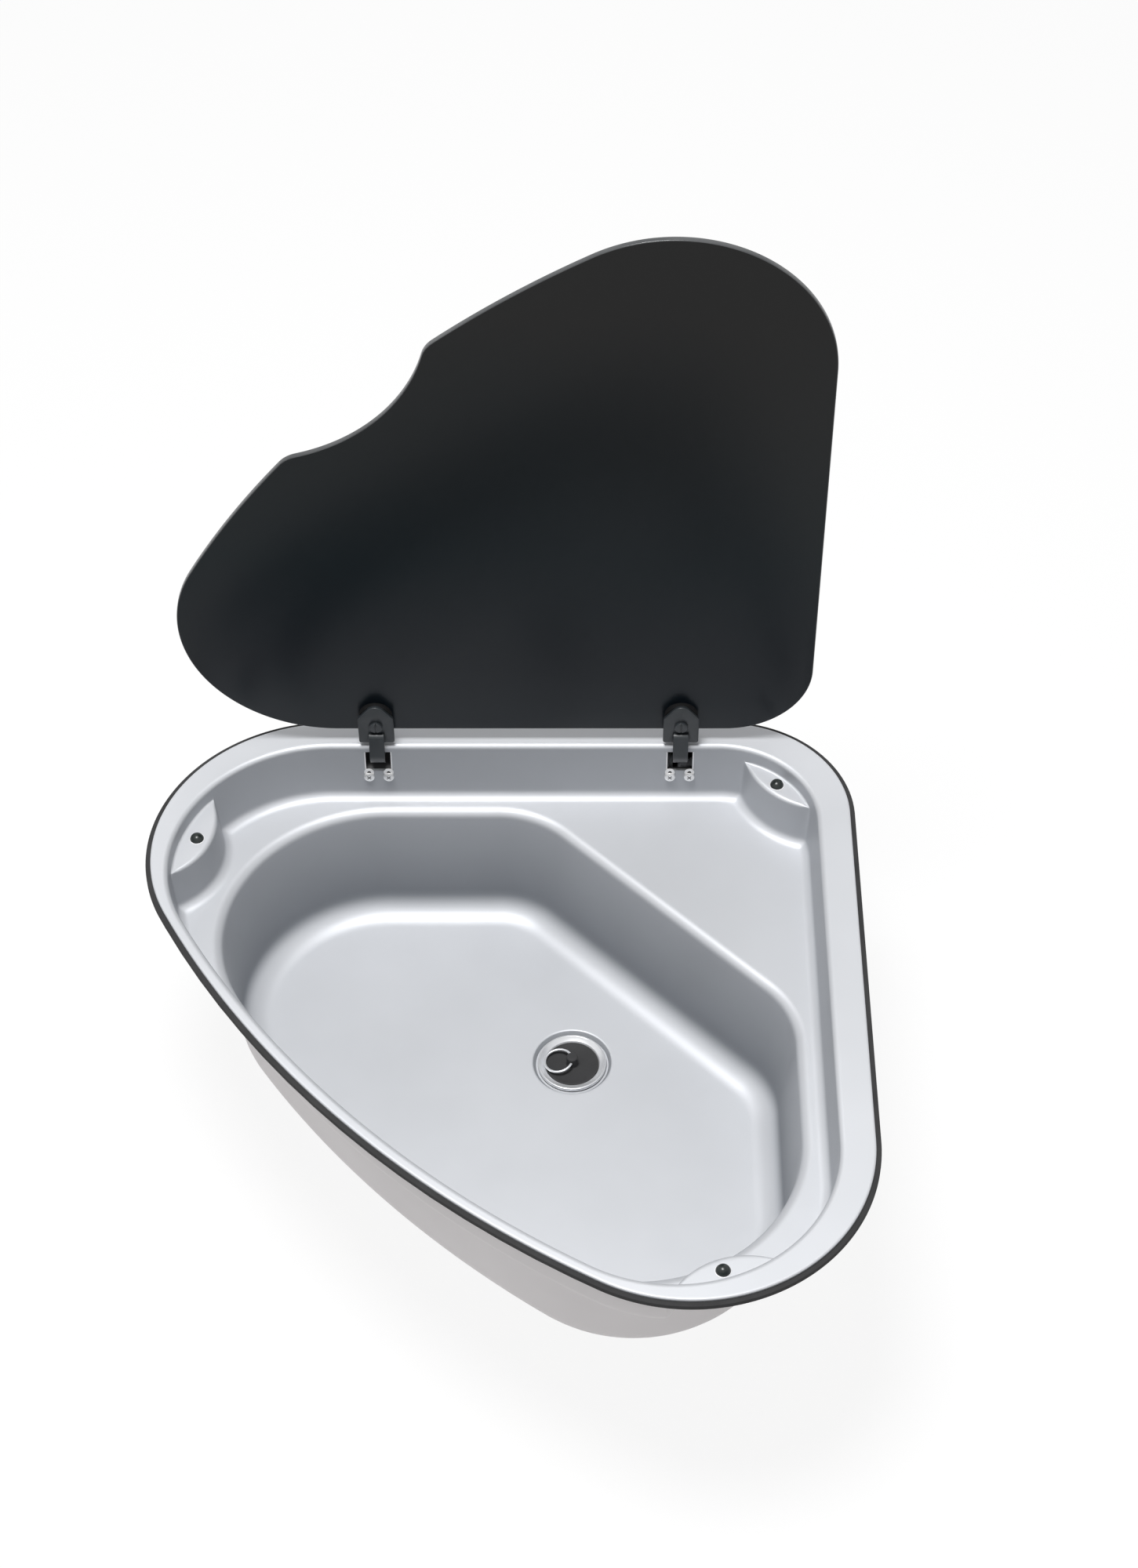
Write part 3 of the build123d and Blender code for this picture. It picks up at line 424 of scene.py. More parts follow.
def outlineRing(shape, fractions):
    turnU, turnV, behind, bow, first = longSide(shape)
    inset, corner, cut = shape["inset"], shape["corner"], shape["cut"]
    points, normals = [], []
    start = inset + corner
    if cut:
        start = cut * math.sqrt(2) - inset + corner * math.tan(math.radians(22.5))
    quarter = math.pi / 2
    stretch(points, normals, (start, inset), (turnU, inset), (0, -1), fractions)
    sweep(points, normals, (turnU, turnV), shape["acute"], -quarter, first, ringSteps["farCorner"])
    sweep(points, normals, (-behind, -behind), bow, first, quarter - first, ringSteps["longSide"])
    sweep(points, normals, (turnV, turnU), shape["acute"], quarter - first, 2 * quarter,
          ringSteps["farCorner"])
    stretch(points, normals, (inset, turnU), (inset, start), (-1, 0), evenly(ringSteps["rightSide"]))
    before, during, after = ringSteps["corner"]
    if cut:
        sweep(points, normals, (inset + corner, start), corner, 2 * quarter, 2.5 * quarter, before)
        slant = math.sqrt(0.5)
        sideU, sideV = inset + corner * (1 - slant), start - corner * slant
        stretch(points, normals, (sideU, sideV), (sideV, sideU), (-slant, -slant), evenly(during))
        sweep(points, normals, (start, inset + corner), corner, 2.5 * quarter, 3 * quarter, after)
    else:
        sweep(points, normals, (start, start), corner, 2 * quarter, 3 * quarter, before + during + after)
    return np.array(points), np.array(normals)


def toPlan(uv):
    return np.column_stack([cornerX - uv[:, 0], -uv[:, 1]])


# ---- the pressed bowl

bowl = {
    "sheet": 0.8,
    "rim": dict(inset=0.0, reach=500.0, acute=123.8, middle=504.0, corner=88.0, cut=None),
    "recess": dict(inset=24.0, reach=486.7, acute=110.1, middle=495.2, corner=70.0, cut=None),
    "well": dict(inset=44.1, reach=450.7, acute=114.2, middle=476.1, corner=67.7, cut=192.6),
    "lip": 2.2, "lipRound": 1.5, "mouthRound": 4.0,
    "recessDepth": 50.6, "recessDraft": 3.0, "ledgeRound": 8.0,
    "wellDepth": 149.0, "wellDraft": 5.3, "brimRound": 8.0, "floorRound": 21.0,
    "platformDepth": 12.5, "platformRound": 1.8, "columnTopRound": 3.5, "tipBlend": 4.3, "tipWidth": 1.6,
    "columns": ((14.0, 14.0, 60.7), (512.0, 87.7, 55.3), (87.7, 512.0, 55.3)), "columnReach": 20.0,
    "dishRadius": 29.0, "dishFoot": 26.5, "dishDepth": 3.5, "dishHole": 21.2,
    "dishRound": 1.6, "heelRound": 0.6,
    "slotWidth": 20.4, "slotTop": 5.7, "slotBottom": 24.8,
}
# where rows of points lie between the rounds, in depths or in shares of the way, and which ones the outer
# skin keeps
bowlRows = {"lip": 1.85, "mouth": 4.5, "platform": (0.12, 0.5, 0.88), "plainTop": 7.0, "plainSpan": 10.5,
            "recess": (18.6, 21.5, 30.0, 36.0, 41.6), "well": (60.0, 75.0, 95.0, 115.0, 128.6),
            "floor": (0.2, 0.5, 0.8, 1.0), "outerNth": 3}
# how many steps each round has, and how far beyond it the next row lies
roundSteps = {"mouth": 9, "ledge": 12, "brim": 11, "foot": 16, "dish": 6, "heel": 4}
beside = {"lip": 0.6, "mouth": 0.5, "platform": 1.5, "ledge": 0.4, "brim": 0.4, "floor": 1.0, "dish": 1.5}


def smoothMax(a, b, width):
    share = np.clip(0.5 + 0.5 * (a - b) / width, 0, 1)
    return b * (1 - share) + a * share + width * share * (1 - share)


def smoothStep(value):
    value = np.clip(value, 0, 1)
    return value * value * (3 - 2 * value)


def filletRows(draft, radius, floor, wallAt, count, foot):
    # (inwards, depth) of a round between a leaning wall and a flat: at its foot, or at its brim
    lean = math.radians(draft)
    rows = []
    for step in range(count + 1):
        share = step / count
        if foot:
            turn = lean + (math.pi / 2 - lean) * share
            depth = floor - radius + radius * math.sin(turn)
            inwards = wallAt(floor - radius) + radius / math.cos(lean) - radius * math.cos(turn)
        else:
            turn = math.pi / 2 + (lean - math.pi / 2) * share
            depth = floor + radius - radius * math.sin(turn)
            inwards = radius * math.cos(turn) - radius / math.cos(lean) + radius * math.tan(lean)
        rows.append((inwards, depth))
    return rows


def bowlRings():
    # rows of points from the lip to the waste's hole, and which rows are the slots' top and bottom
    slotEdges = sorted(cornerX - x + side * bowl["slotWidth"] / 2 for x in hingeXs for side in (-1, 1))
    fractions = hingeFractions(bowl["recess"], slotEdges)
    bases = {name: outlineRing(bowl[name], fractions) for name in ("rim", "recess", "well")}
    count = len(bases["rim"][0])
    quarterTurns = [math.radians(15 * step) for step in range(7)]
    rings = []

    def lay(base, inwards, depth):
        points, normals = bases[base]
        uv = points - normals * np.broadcast_to(inwards, (count,))[:, None]
        heights = rimTop - np.broadcast_to(depth, (count,))
        rings.append(np.column_stack([toPlan(uv), heights]))

    def recessWall(depth):
        return depth * math.tan(math.radians(bowl["recessDraft"]))

    def wellWall(depth):
        return (depth - bowl["recessDepth"]) * math.tan(math.radians(bowl["wellDraft"]))

    def column(extra):
        # how far the columns stand in from the mouth's outline, along its normals
        points, normals = bases["recess"]
        nowhere = -1e3
        reach = np.full(count, nowhere)
        for u, v, radius in bowl["columns"]:
            offset = points - np.array((u, v))
            along = (offset * normals).sum(1)
            inside = along**2 - (offset**2).sum(1) + (radius + extra) ** 2
            half = np.sqrt(np.maximum(inside, 0))
            met = (inside > 0) & (along - half < bowl["columnReach"])     # not the columns across the bowl
            reach = np.maximum(reach, np.where(met, along + half, nowhere))
        return reach

    # turned-down lip, rim and mouth
    lay("rim", 0, bowl["lip"])
    lay("rim", 0, bowlRows["lip"])
    for turn in quarterTurns:
        lay("rim", bowl["lipRound"] * (1 - math.cos(turn)), bowl["lipRound"] * (1 - math.sin(turn)))
    lay("rim", bowl["lipRound"] + beside["lip"], 0)
    mouth = filletRows(bowl["recessDraft"], bowl["mouthRound"], 0, recessWall, roundSteps["mouth"], False)
    for inwards, depth in [(mouth[0][0] - beside["mouth"], 0)] + mouth:
        lay("recess", inwards, depth)
    for depth in (bowlRows["mouth"], bowl["slotTop"]):
        lay("recess", recessWall(depth), depth)
    slotTopRow = len(rings) - 1

    # platforms on the columns; where there is no column the same rows run down the wall
    level, blend = bowl["platformDepth"], bowl["tipBlend"]
    wall = recessWall(level)
    width = smoothMax(column(0), wall, blend) - wall
    share = np.clip(width / (bowl["platformRound"] + bowl["columnTopRound"] + beside["platform"]), 0, 1)
    innerRound, outerRound = bowl["platformRound"] * share, bowl["columnTopRound"] * share
    edge = smoothMax(column(0) - outerRound, wall, blend)
    shown = smoothStep(width / bowl["tipWidth"])
    shaped = []
    for turn in quarterTurns:
        shaped.append((wall + innerRound * (1 - math.cos(turn)), level - innerRound * (1 - math.sin(turn))))
    for part in bowlRows["platform"]:
        shaped.append((wall + innerRound + (edge - wall - innerRound) * part, level))
    for turn in quarterTurns:
        reach = column(0) - outerRound * (1 - math.sin(turn))
        shaped.append((smoothMax(reach, wall, blend), level + outerRound * (1 - math.cos(turn))))
    for index, (inwards, depth) in enumerate(shaped):
        plain = bowlRows["plainTop"] + bowlRows["plainSpan"] * index / (len(shaped) - 1)
        lay("recess", recessWall(plain) * (1 - shown) + inwards * shown, plain * (1 - shown) + depth * shown)

    # recess wall and columns down to the ledge
    def lowerRow(depth, extra):
        reach = column(recessWall(depth - level) + extra)
        lay("recess", smoothMax(reach, recessWall(depth) + extra, blend), depth)

    for depth in sorted(bowlRows["recess"] + (bowl["slotBottom"],)):
        lowerRow(depth, 0)
        if depth == bowl["slotBottom"]:
            slotBottomRow = len(rings) - 1
    ledge = bowl["recessDepth"]
    for inwards, depth in filletRows(bowl["recessDraft"], bowl["ledgeRound"], ledge, recessWall,
                                     roundSteps["ledge"], True):
        lowerRow(depth, inwards - recessWall(depth))
    lowerRow(ledge, inwards - recessWall(ledge) + beside["ledge"])

    # ledge, brim, bowl wall and floor
    brim = filletRows(bowl["wellDraft"], bowl["brimRound"], ledge, wellWall, roundSteps["brim"], False)
    wallRows = [(wellWall(depth), depth) for depth in bowlRows["well"]]
    foot = filletRows(bowl["wellDraft"], bowl["floorRound"], bowl["wellDepth"], wellWall,
                      roundSteps["foot"], True)
    first = (brim[0][0] - beside["brim"], ledge)
    last = (foot[-1][0] + beside["floor"], bowl["wellDepth"])
    for inwards, depth in [first] + brim + wallRows + foot + [last]:
        lay("well", inwards, depth)

    # towards the waste: round rings whose points lie in the directions of the floor's edge
    floorRing = rings[-1]
    away = floorRing[:, :2] - np.array((drainX, drainY))
    away /= np.linalg.norm(away, axis=1)[:, None]

    def roundRing(radius, drop):
        plan = np.array((drainX, drainY)) + away * radius
        return np.column_stack([plan, np.full(count, rimTop - bowl["wellDepth"] - drop)])

    slope = math.atan2(bowl["dishDepth"], bowl["dishRadius"] - bowl["dishFoot"])
    size, heelSize = bowl["dishRound"], bowl["heelRound"]
    brink = bowl["dishRadius"] + size * math.tan(slope / 2)
    heel = bowl["dishFoot"] - heelSize * math.tan(slope / 2)
    outermost = roundRing(brink + beside["dish"], 0)
    for part in bowlRows["floor"]:
        rings.append(floorRing * (1 - part) + outermost * part)
    for step in range(roundSteps["dish"] + 1):
        turn = slope * step / roundSteps["dish"]
        rings.append(roundRing(brink - size * math.sin(turn), size * (1 - math.cos(turn))))
    for step in range(roundSteps["heel"] + 1):
        turn = slope * (1 - step / roundSteps["heel"])
        drop = bowl["dishDepth"] - heelSize * (1 - math.cos(turn))
        rings.append(roundRing(heel + heelSize * math.sin(turn), drop))
    rings.append(roundRing(bowl["dishHole"], bowl["dishDepth"]))
    return np.array(rings), slotTopRow, slotBottomRow


def gridNormals(rings):
    across = np.gradient(rings, axis=0)
    along = np.roll(rings, -1, axis=1) - np.roll(rings, 1, axis=1)
    normals = np.cross(along, across)
    return normals / np.maximum(np.linalg.norm(normals, axis=2), 1e-9)[:, :, None]


def makeBowl():
    rings, top, bottom = bowlRings()
    normals = gridNormals(rings)
    rowCount, count = rings.shape[:2]
    last = rowCount - 1
    wallX, wallY = rings[top, :, 0], rings[top, :, 1]
    sameLine = 0.01
    onHingeSide = np.abs(wallY - wallY[0]) < sameLine
    middle = (wallX + np.roll(wallX, -1)) / 2
    slotted = np.zeros(count, bool)
    for x in hingeXs:
        slotted |= onHingeSide & (np.abs(middle - x) < bowl["slotWidth"] / 2)
    # the outer skin has fewer rows than the inner one
    outerRows = [row for row in range(rowCount)
                 if row % bowlRows["outerNth"] == 0 or top <= row <= bottom or row in (1, last)]
    outerStart = {row: (rowCount + place) * count for place, row in enumerate(outerRows)}
    outerPoints = (rings - normals * bowl["sheet"])[outerRows]
    points = np.concatenate([rings.reshape(-1, 3), outerPoints.reshape(-1, 3)])
    faces = []

    def inner(row, at):
        return row * count + at % count

    def outer(row, at):
        return outerStart[row] + at % count

    def solid(row, at):
        return not (top <= row < bottom and slotted[at])

    for row in range(last):
        for at in range(count):
            if solid(row, at):
                faces.append((inner(row, at), inner(row, at + 1), inner(row + 1, at + 1), inner(row + 1, at)))
    innerFaces = len(faces)
    for row, below in zip(outerRows, outerRows[1:]):
        for at in range(count):
            if solid(row, at):
                faces.append((outer(row, at), outer(below, at), outer(below, at + 1), outer(row, at + 1)))
    outerFaces = len(faces)

    # the sheet's edges: at the lip, the waste's hole and round the slots
    for at in range(count):
        faces.append((inner(0, at), outer(0, at), outer(0, at + 1), inner(0, at + 1)))
        faces.append((inner(last, at), inner(last, at + 1), outer(last, at + 1), outer(last, at)))
        if slotted[at]:
            faces.append((inner(top, at + 1), inner(top, at), outer(top, at), outer(top, at + 1)))
            faces.append((inner(bottom, at), inner(bottom, at + 1), outer(bottom, at + 1), outer(bottom, at)))
        if slotted[at] != slotted[at - 1]:
            for row in range(top, bottom):
                side = (inner(row, at), inner(row + 1, at), outer(row + 1, at), outer(row, at))
                faces.append(side if slotted[at] else side[::-1])
    skins = np.zeros(len(faces), int)
    skins[innerFaces:outerFaces] = 1
    mesh = meshFrom("sinkBowl", points * mm, faces, skins)

    # painted shade on the inner skin: how dark by how upright it stands and how deep it lies
    flat, full = paintedShadeSteel["flat"], paintedShadeSteel["upright"]
    upright = smoothStep((flat - np.abs(normals[:, :, 2])) / (flat - full))
    ledge, floor = bowl["recessDepth"], bowl["wellDepth"]
    stops = (0, ledge, ledge + paintedShadeSteel["brimBelow"], floor - bowl["floorRound"],
             floor + paintedShadeSteel["footEnds"], floor + paintedShadeSteel["dishFull"])
    levels = [paintedShadeSteel[name] for name in ("recess", "recess", "brim", "foot", "foot", "dish")]
    shadeByDepth = np.interp(rimTop - rings[:, :, 2], stops, levels)
    paintedShade = np.zeros(len(points), np.float32)
    paintedShade[:rowCount * count] = np.clip(upright * shadeByDepth, 0, 1).ravel()
    mesh.attributes.new("paintedShade", "FLOAT", "POINT").data.foreach_set("value", paintedShade)
    print("bowl mesh,", len(mesh.polygons), "faces")
    finishPiece("sinkBowl", mesh, "sink", ["satinSteel", "paleOutside"], ["sink_bowl"],
                sharpAngle=50)


makeBowl()


# ---- the sealing strip round the rim, swept by Geometry Nodes

seal = {"proud": 3.5, "drop": 6.0, "under": 9.0, "gap": 0.1, "round": 0.5, "overlap": 0.05,
        "hingeSteps": 24, "everyNth": 3}


def treeWith(name, inputs):
    # a tree with the incoming geometry, the named inputs and a finish
    tree = bpy.data.node_groups.new(name, "GeometryNodeTree")
    for label, kind in {"Geometry": "Geometry", **inputs, "Finish": "Material"}.items():
        tree.interface.new_socket(name=label, in_out="INPUT", socket_type="NodeSocket" + kind)
    tree.interface.new_socket(name="Geometry", in_out="OUTPUT", socket_type="NodeSocketGeometry")
    return tree, addNode(tree, "NodeGroupInput"), addNode(tree, "NodeGroupOutput")


def endTree(tree, start, end, made, output):
    real = addNode(tree, "GeometryNodeRealizeInstances")
    finish = addNode(tree, "GeometryNodeSetMaterial")
    connect(tree, (made, output, real, "Geometry"), (real, "Geometry", finish, "Geometry"),
            (start, "Finish", finish, "Material"), (finish, "Geometry", end, "Geometry"))
    return tree


def runTree(tree, start, values):
    # gives the tree its inputs, evaluates it and returns a plain mesh
    helper = placed("helper", start)
    modifier = helper.modifiers.new("nodes", "NODES")
    modifier.node_group = tree
    for item in tree.interface.items_tree:
        if item.in_out == "INPUT" and item.name in values:
            modifier[item.identifier] = values[item.name]
    return plainMesh(helper)


def makeStripTree():
    # a flat strip with rounded edges along the incoming outline
    tree, start, end = treeWith("sealStrip", {"Width": "Float", "Height": "Float", "Round": "Float"})
    path = addNode(tree, "GeometryNodeMeshToCurve")
    section = addNode(tree, "GeometryNodeCurvePrimitiveQuadrilateral")
    rounded = addNode(tree, "GeometryNodeFilletCurve", mode="POLY")
    setInputs(rounded, {"Count": 4})
    swept = addNode(tree, "GeometryNodeCurveToMesh")
    connect(tree, (start, "Geometry", path, "Mesh"), (start, "Width", section, "Width"),
            (start, "Height", section, "Height"), (section, "Curve", rounded, "Curve"),
            (start, "Round", rounded, "Radius"), (path, "Curve", swept, "Curve"),
            (rounded, "Curve", swept, "Profile Curve"))
    return endTree(tree, start, end, swept, "Mesh")


def loopMesh(points):
    mesh = bpy.data.meshes.new("loop")
    edges = [(at, (at + 1) % len(points)) for at in range(len(points))]
    mesh.from_pydata([tuple(point) for point in points], edges, [])
    return mesh


def joined(name, meshes):
    work = bmesh.new()
    for mesh in meshes:
        work.from_mesh(mesh)
    mesh = bpy.data.meshes.new(name)
    work.to_mesh(mesh)
    work.free()
    return mesh


def atHeight(uv, height):
    return np.column_stack([toPlan(uv), np.full(len(uv), height)])


def makeSeal():
    # the band outside the lip is swept, the one under the rim keeps clear of the recess wall
    sealTop = rimTop - bowl["lip"] - seal["gap"]
    sealLow = rimTop - seal["drop"]
    inner = bowl["sheet"] + seal["gap"]
    steps = evenly(seal["hingeSteps"])
    middle = outlineRing(grown(bowl["rim"], (seal["proud"] - inner) / 2), steps)[0][::seal["everyNth"]]
    values = {"Width": (seal["proud"] + inner) * mm, "Height": (sealTop - sealLow) * mm,
              "Round": seal["round"] * mm, "Finish": materials["darkRubber"]}
    band = runTree(makeStripTree(), loopMesh(atHeight(middle, (sealTop + sealLow) / 2) * mm), values)

    points, normals = outlineRing(bowl["rim"], steps)
    mouthEdge = outlineRing(grown(bowl["recess"], bowl["mouthRound"] + seal["gap"]), steps)[0]
    clear = np.sqrt(((points[:, None] - mouthEdge[None]) ** 2).sum(2)).min(1)
    far = np.minimum(seal["under"], clear)[:, None]
    near = inner + seal["overlap"]
    high = rimTop - bowl["sheet"] - seal["gap"] - seal["round"]
    corners = ((near, high), (near, sealLow), (far, sealLow), (far, high))
    rings = [atHeight(points - normals * inwards, height) for inwards, height in corners]
    under = meshFrom("underBand", np.concatenate(rings) * mm, bandFaces(len(rings), len(points), True))
    mesh = joined("rimSeal", [band, under])
    fixNormals(mesh)
    finishPiece("rimSeal", mesh, "sink", ["darkRubber"], ["rim_seal"])


makeSeal()
print("seal made")


# ---- the glass lid, drawn closed and swung open about the hinge pins

lid = {
    "outline": dict(inset=0.0, reach=451.0, acute=107.2, middle=449.3, corner=60.8),
    "side": 27.5, "back": 34.0,
    "under": 8.0,                 # rim top down to the closed lid's underside
    "glass": 4.0, "edgeRound": 0.6,
    "notchPlace": 390.1, "notchRadius": 125.3, "shoulder": 22.0,
}
lidSteps = {"straight": 40, "acute": 90, "bow": 40, "shoulder": 16, "notch": 70, "corner": 60, "edge": 4}


def swing(mesh):
    pivot = Vector((0, pivotY, pivotZ)) * mm
    turn = Matrix.Rotation(math.radians(-openAngle), 4, "X")
    mesh.transform(Matrix.Translation(pivot) @ turn @ Matrix.Translation(-pivot))


def lidRing():
    # the lid's outline with the finger notch in its long side: points and outward directions
    shape, notch, shoulder = lid["outline"], lid["notchPlace"], lid["shoulder"]
    turnU, turnV, behind, bow, first = longSide(shape)
    quarter = math.pi / 2
    full = 2 * math.pi

    # the shoulders between the bow and the notch: how far round the bow each one starts
    span = math.sqrt(2) * (notch + behind)
    nearArc, nearNotch = bow - shoulder, lid["notchRadius"] + shoulder
    along = (nearArc**2 - nearNotch**2 + span**2) / (2 * span)
    spread = math.atan2(math.sqrt(nearArc**2 - along**2), along)
    turns, centres, toNotch = (quarter / 2 - spread, quarter / 2 + spread), [], []
    for turn in turns:
        centre = (-behind + nearArc * math.cos(turn), -behind + nearArc * math.sin(turn))
        centres.append(centre)
        toNotch.append(math.atan2(notch - centre[1], notch - centre[0]))
    startTurn = toNotch[0] + math.pi
    endTurn = startTurn - (toNotch[0] - toNotch[1]) % full
    lastTurn = toNotch[1] + math.remainder(turns[1] - toNotch[1], full)

    points, normals = [], []

    def arc(centre, radius, start, end, kind, inwards=False):
        sweep(points, normals, centre, radius, start, end, lidSteps[kind], inwards)

    corner, acute = shape["corner"], shape["acute"]
    stretch(points, normals, (corner, 0), (turnU, 0), (0, -1), evenly(lidSteps["straight"]))
    arc((turnU, turnV), acute, -quarter, first, "acute")
    arc((-behind, -behind), bow, first, turns[0], "bow")
    arc(centres[0], shoulder, turns[0], toNotch[0], "shoulder")
    arc((notch, notch), lid["notchRadius"], startTurn, endTurn, "notch", True)
    arc(centres[1], shoulder, toNotch[1], lastTurn, "shoulder")
    arc((-behind, -behind), bow, turns[1], quarter - first, "bow")
    arc((turnV, turnU), acute, quarter - first, 2 * quarter, "acute")
    stretch(points, normals, (0, turnU), (0, corner), (-1, 0), evenly(lidSteps["straight"]))
    arc((corner, corner), corner, 2 * quarter, 3 * quarter, "corner")
    return np.array(points) + np.array((lid["side"], lid["back"])), np.array(normals)


def makeLid():
    points, normals = lidRing()
    low = rimTop - lid["under"]
    high = low + lid["glass"]
    size, steps = lid["edgeRound"], lidSteps["edge"]
    rows = []
    for step in range(steps + 1):
        turn = math.radians(90 * step / steps)
        rows.append((size * (1 - math.sin(turn)), low + size * (1 - math.cos(turn))))
    rows += [(inwards, low + high - height) for inwards, height in reversed(rows)]
    count = len(points)
    rings = [atHeight(points - normals * inwards, height) for inwards, height in rows]
    faces = bandFaces(len(rows), count)
    marks = [1] * len(faces) + [0, 0]
    faces.append(tuple(reversed(range(count))))
    faces.append(tuple((len(rows) - 1) * count + at for at in range(count)))
    mesh = meshFrom("lidGlass", np.concatenate(rings) * mm, faces, marks)
    swing(mesh)
    finishPiece("lidGlass", mesh, "lid", ["blackGlass", "glassEdgeAndCrossShade"], ["glass_lid"],
                sharpAngle=25)


makeLid()
print("lid made")


# ---- hinges: rounded copies of the frame's parts

# each part's rounding, finish, slot and body
hingeParts = {
    "hinge_arm": (0.45, "hingeBlack", "hinge_black", "lid"),
    "hinge_plate": (0.4, "hingeBlack", "hinge_black", "lid"),
    "hinge_pad": (0.5, "padBlackAndKeyholeShade", "pad_rubber", "lid"),
    "hinge_cap": (0.3, "mouldedBlackAndSlotShade", "hinge_plastic", "lid"),
    "hinge_screw": (0.25, "hingeBlack", "screw_black", "lid"),
    "hinge_bracket": (0.2, "zinc", "bracket_zinc", "sink"),
    "hinge_pin": (0.3, "brightScrew", "screw_steel", "sink"),
    "hinge_bushes": (0.3, "mouldedBlackAndSlotShade", "hinge_plastic", "sink"),
}
# painted shade: a dark trough put behind each slot, under the arm's swing, in (y, z) from the pin; and
# painted highlight:
# bright strips at the slot's edges
slotShadeAndGlint = {
    "floor": ((-7.7, -18.7), (0.0, -14.8), (3.0, -14.4), (5.4, -13.5)),
    "sideTop": ((-7.0, -4.6), (4.5, -4.6)), "sheet": 0.7, "half": 10.3,
    "edgeWide": 1.0, "edgeShort": 0.3, "edgeFrom": 0.3, "edgeTo": 1.0,
}
# a fixing screw, its boss and the dark disc painted as the shade in its keyhole, in (radius, height), and one
# dark bar of the cross in its head, painted as the shade in the cross recess
fixing = {
    "screw": ((0, 2.4), (3.2, 2.4), (3.75, 2.1), (3.9, 1.6), (3.9, 0), (2.0, 0), (2.0, -8.7), (1.7, -9.0),
              (0, -9.0)),
    "boss": ((0, 0.7), (3.5, 0.7), (3.7, 0.5), (3.7, 0), (0, 0)),
    "keyholeShade": ((0, 0.8), (1.4, 0.8), (1.4, 0), (0, 0)),
    "bar": ((-0.32, 1.8), (0.32, 1.8), (0.32, 2.45), (-0.32, 2.45)), "crossShadeLength": 3.8,
    "depth": {"screw": 30.0, "boss": 26.2, "keyholeShade": 26.2}, "spacing": 14.4,
}


def marked(mesh, index):
    mesh.polygons.foreach_set("material_index", [index] * len(mesh.polygons))
    return mesh


def prism(section, fromX, toX):
    # a block along x whose section is in (y, z)
    count = len(section)
    points = [(x * mm, y * mm, z * mm) for x in (fromX, toX) for y, z in section]
    faces = [tuple(range(count)), tuple(range(2 * count - 1, count - 1, -1))]
    mesh = meshFrom("prism", points, faces + bandFaces(2, count))
    fixNormals(mesh)
    return mesh


def hingeWallY(depth):
    return -(bowl["recess"]["inset"] + depth * math.tan(math.radians(bowl["recessDraft"])))


def slotShadeAndGlintParts(x):
    # the floor and sides of the dark trough, painted shade, and the bright strips at both sides of the slot,
    # painted highlight
    sheet, half = slotShadeAndGlint["sheet"], slotShadeAndGlint["half"]
    floor, ends = ([(pivotY + y, pivotZ + z) for y, z in slotShadeAndGlint[key]] for key in ("floor", "sideTop"))
    parts = [marked(prism(floor + [(y, z - sheet) for y, z in reversed(floor)], x - half, x + half), 1)]
    high, low = bowl["slotTop"] + slotShadeAndGlint["edgeShort"], bowl["slotBottom"] - slotShadeAndGlint["edgeShort"]
    strip = [(hingeWallY(depth) + slotShadeAndGlint[reach], rimTop - depth) for depth, reach in (
        (high, "edgeFrom"), (high, "edgeTo"), (low, "edgeTo"), (low, "edgeFrom"))]
    for side in (-1, 1):
        outside, inside = x + side * half, x + side * (half - sheet)
        parts.append(marked(prism(ends[:1] + floor + ends[1:], *sorted((outside, inside))), 1))
        edge = x + side * bowl["slotWidth"] / 2
        parts.append(marked(prism(strip, *sorted((edge, edge - side * slotShadeAndGlint["edgeWide"]))), 2))
    return parts


def screwParts(x):
    # two fixing screws whose crosses are dark bars, painted shade of the recess, and above each a bright boss
    # with a dark disc, painted shade of its keyhole
    parts = []
    upright = math.radians(90 - bowl["recessDraft"])
    for side in (-1, 1):
        for kind, depth in fixing["depth"].items():
            face = Vector((x + side * fixing["spacing"] / 2, hingeWallY(depth), rimTop - depth)) * mm
            turned = Matrix.Translation(face) @ Matrix.Rotation(upright, 4, "X")
            made = latheMesh(kind, fixing[kind], (0, 0), segments=32, closed=False)
            made.transform(turned)
            parts.append(marked(made, int(kind == "keyholeShade")))
            # the cross is two dark bars on the head: painted shade of the cross recess
            for turn in (45, 135) if kind == "screw" else ():
                bar = prism(fixing["bar"], -fixing["crossShadeLength"] / 2, fixing["crossShadeLength"] / 2)
                bar.transform(turned @ Matrix.Rotation(math.radians(turn), 4, "Z"))
                parts.append(marked(bar, 2))
    return parts


for side, hingeX in zip(("left", "right"), hingeXs):
    for part, (width, finish, slotName, body) in hingeParts.items():
        node = part + "_" + side
        name = "hinge" + part.split("_")[1].title() + side.title()
        mesh, used = bevelledCopy(node, width), [finish]
        # each bracket carries a dark trough behind its slot, painted shade, and bright strips at the slot's
        # edges, painted highlight
        if part == "hinge_bracket":
            mesh, used = joined(name, [mesh] + slotShadeAndGlintParts(hingeX)), [finish, "mouldedBlackAndSlotShade", "paintedHighlightEdge"]
        finishPiece(name, mesh, body, used, [node], sharpAngle=35)
    name = "bracketScrews" + side.title()
    finishPiece(name, joined(name, screwParts(hingeX)), "sink", ["brightScrew", "padBlackAndKeyholeShade", "glassEdgeAndCrossShade"],
                ["bracket_screws_" + side], sharpAngle=35)
print("hinges made")


# ---- buffers: one dome, set on the three platforms by Geometry Nodes

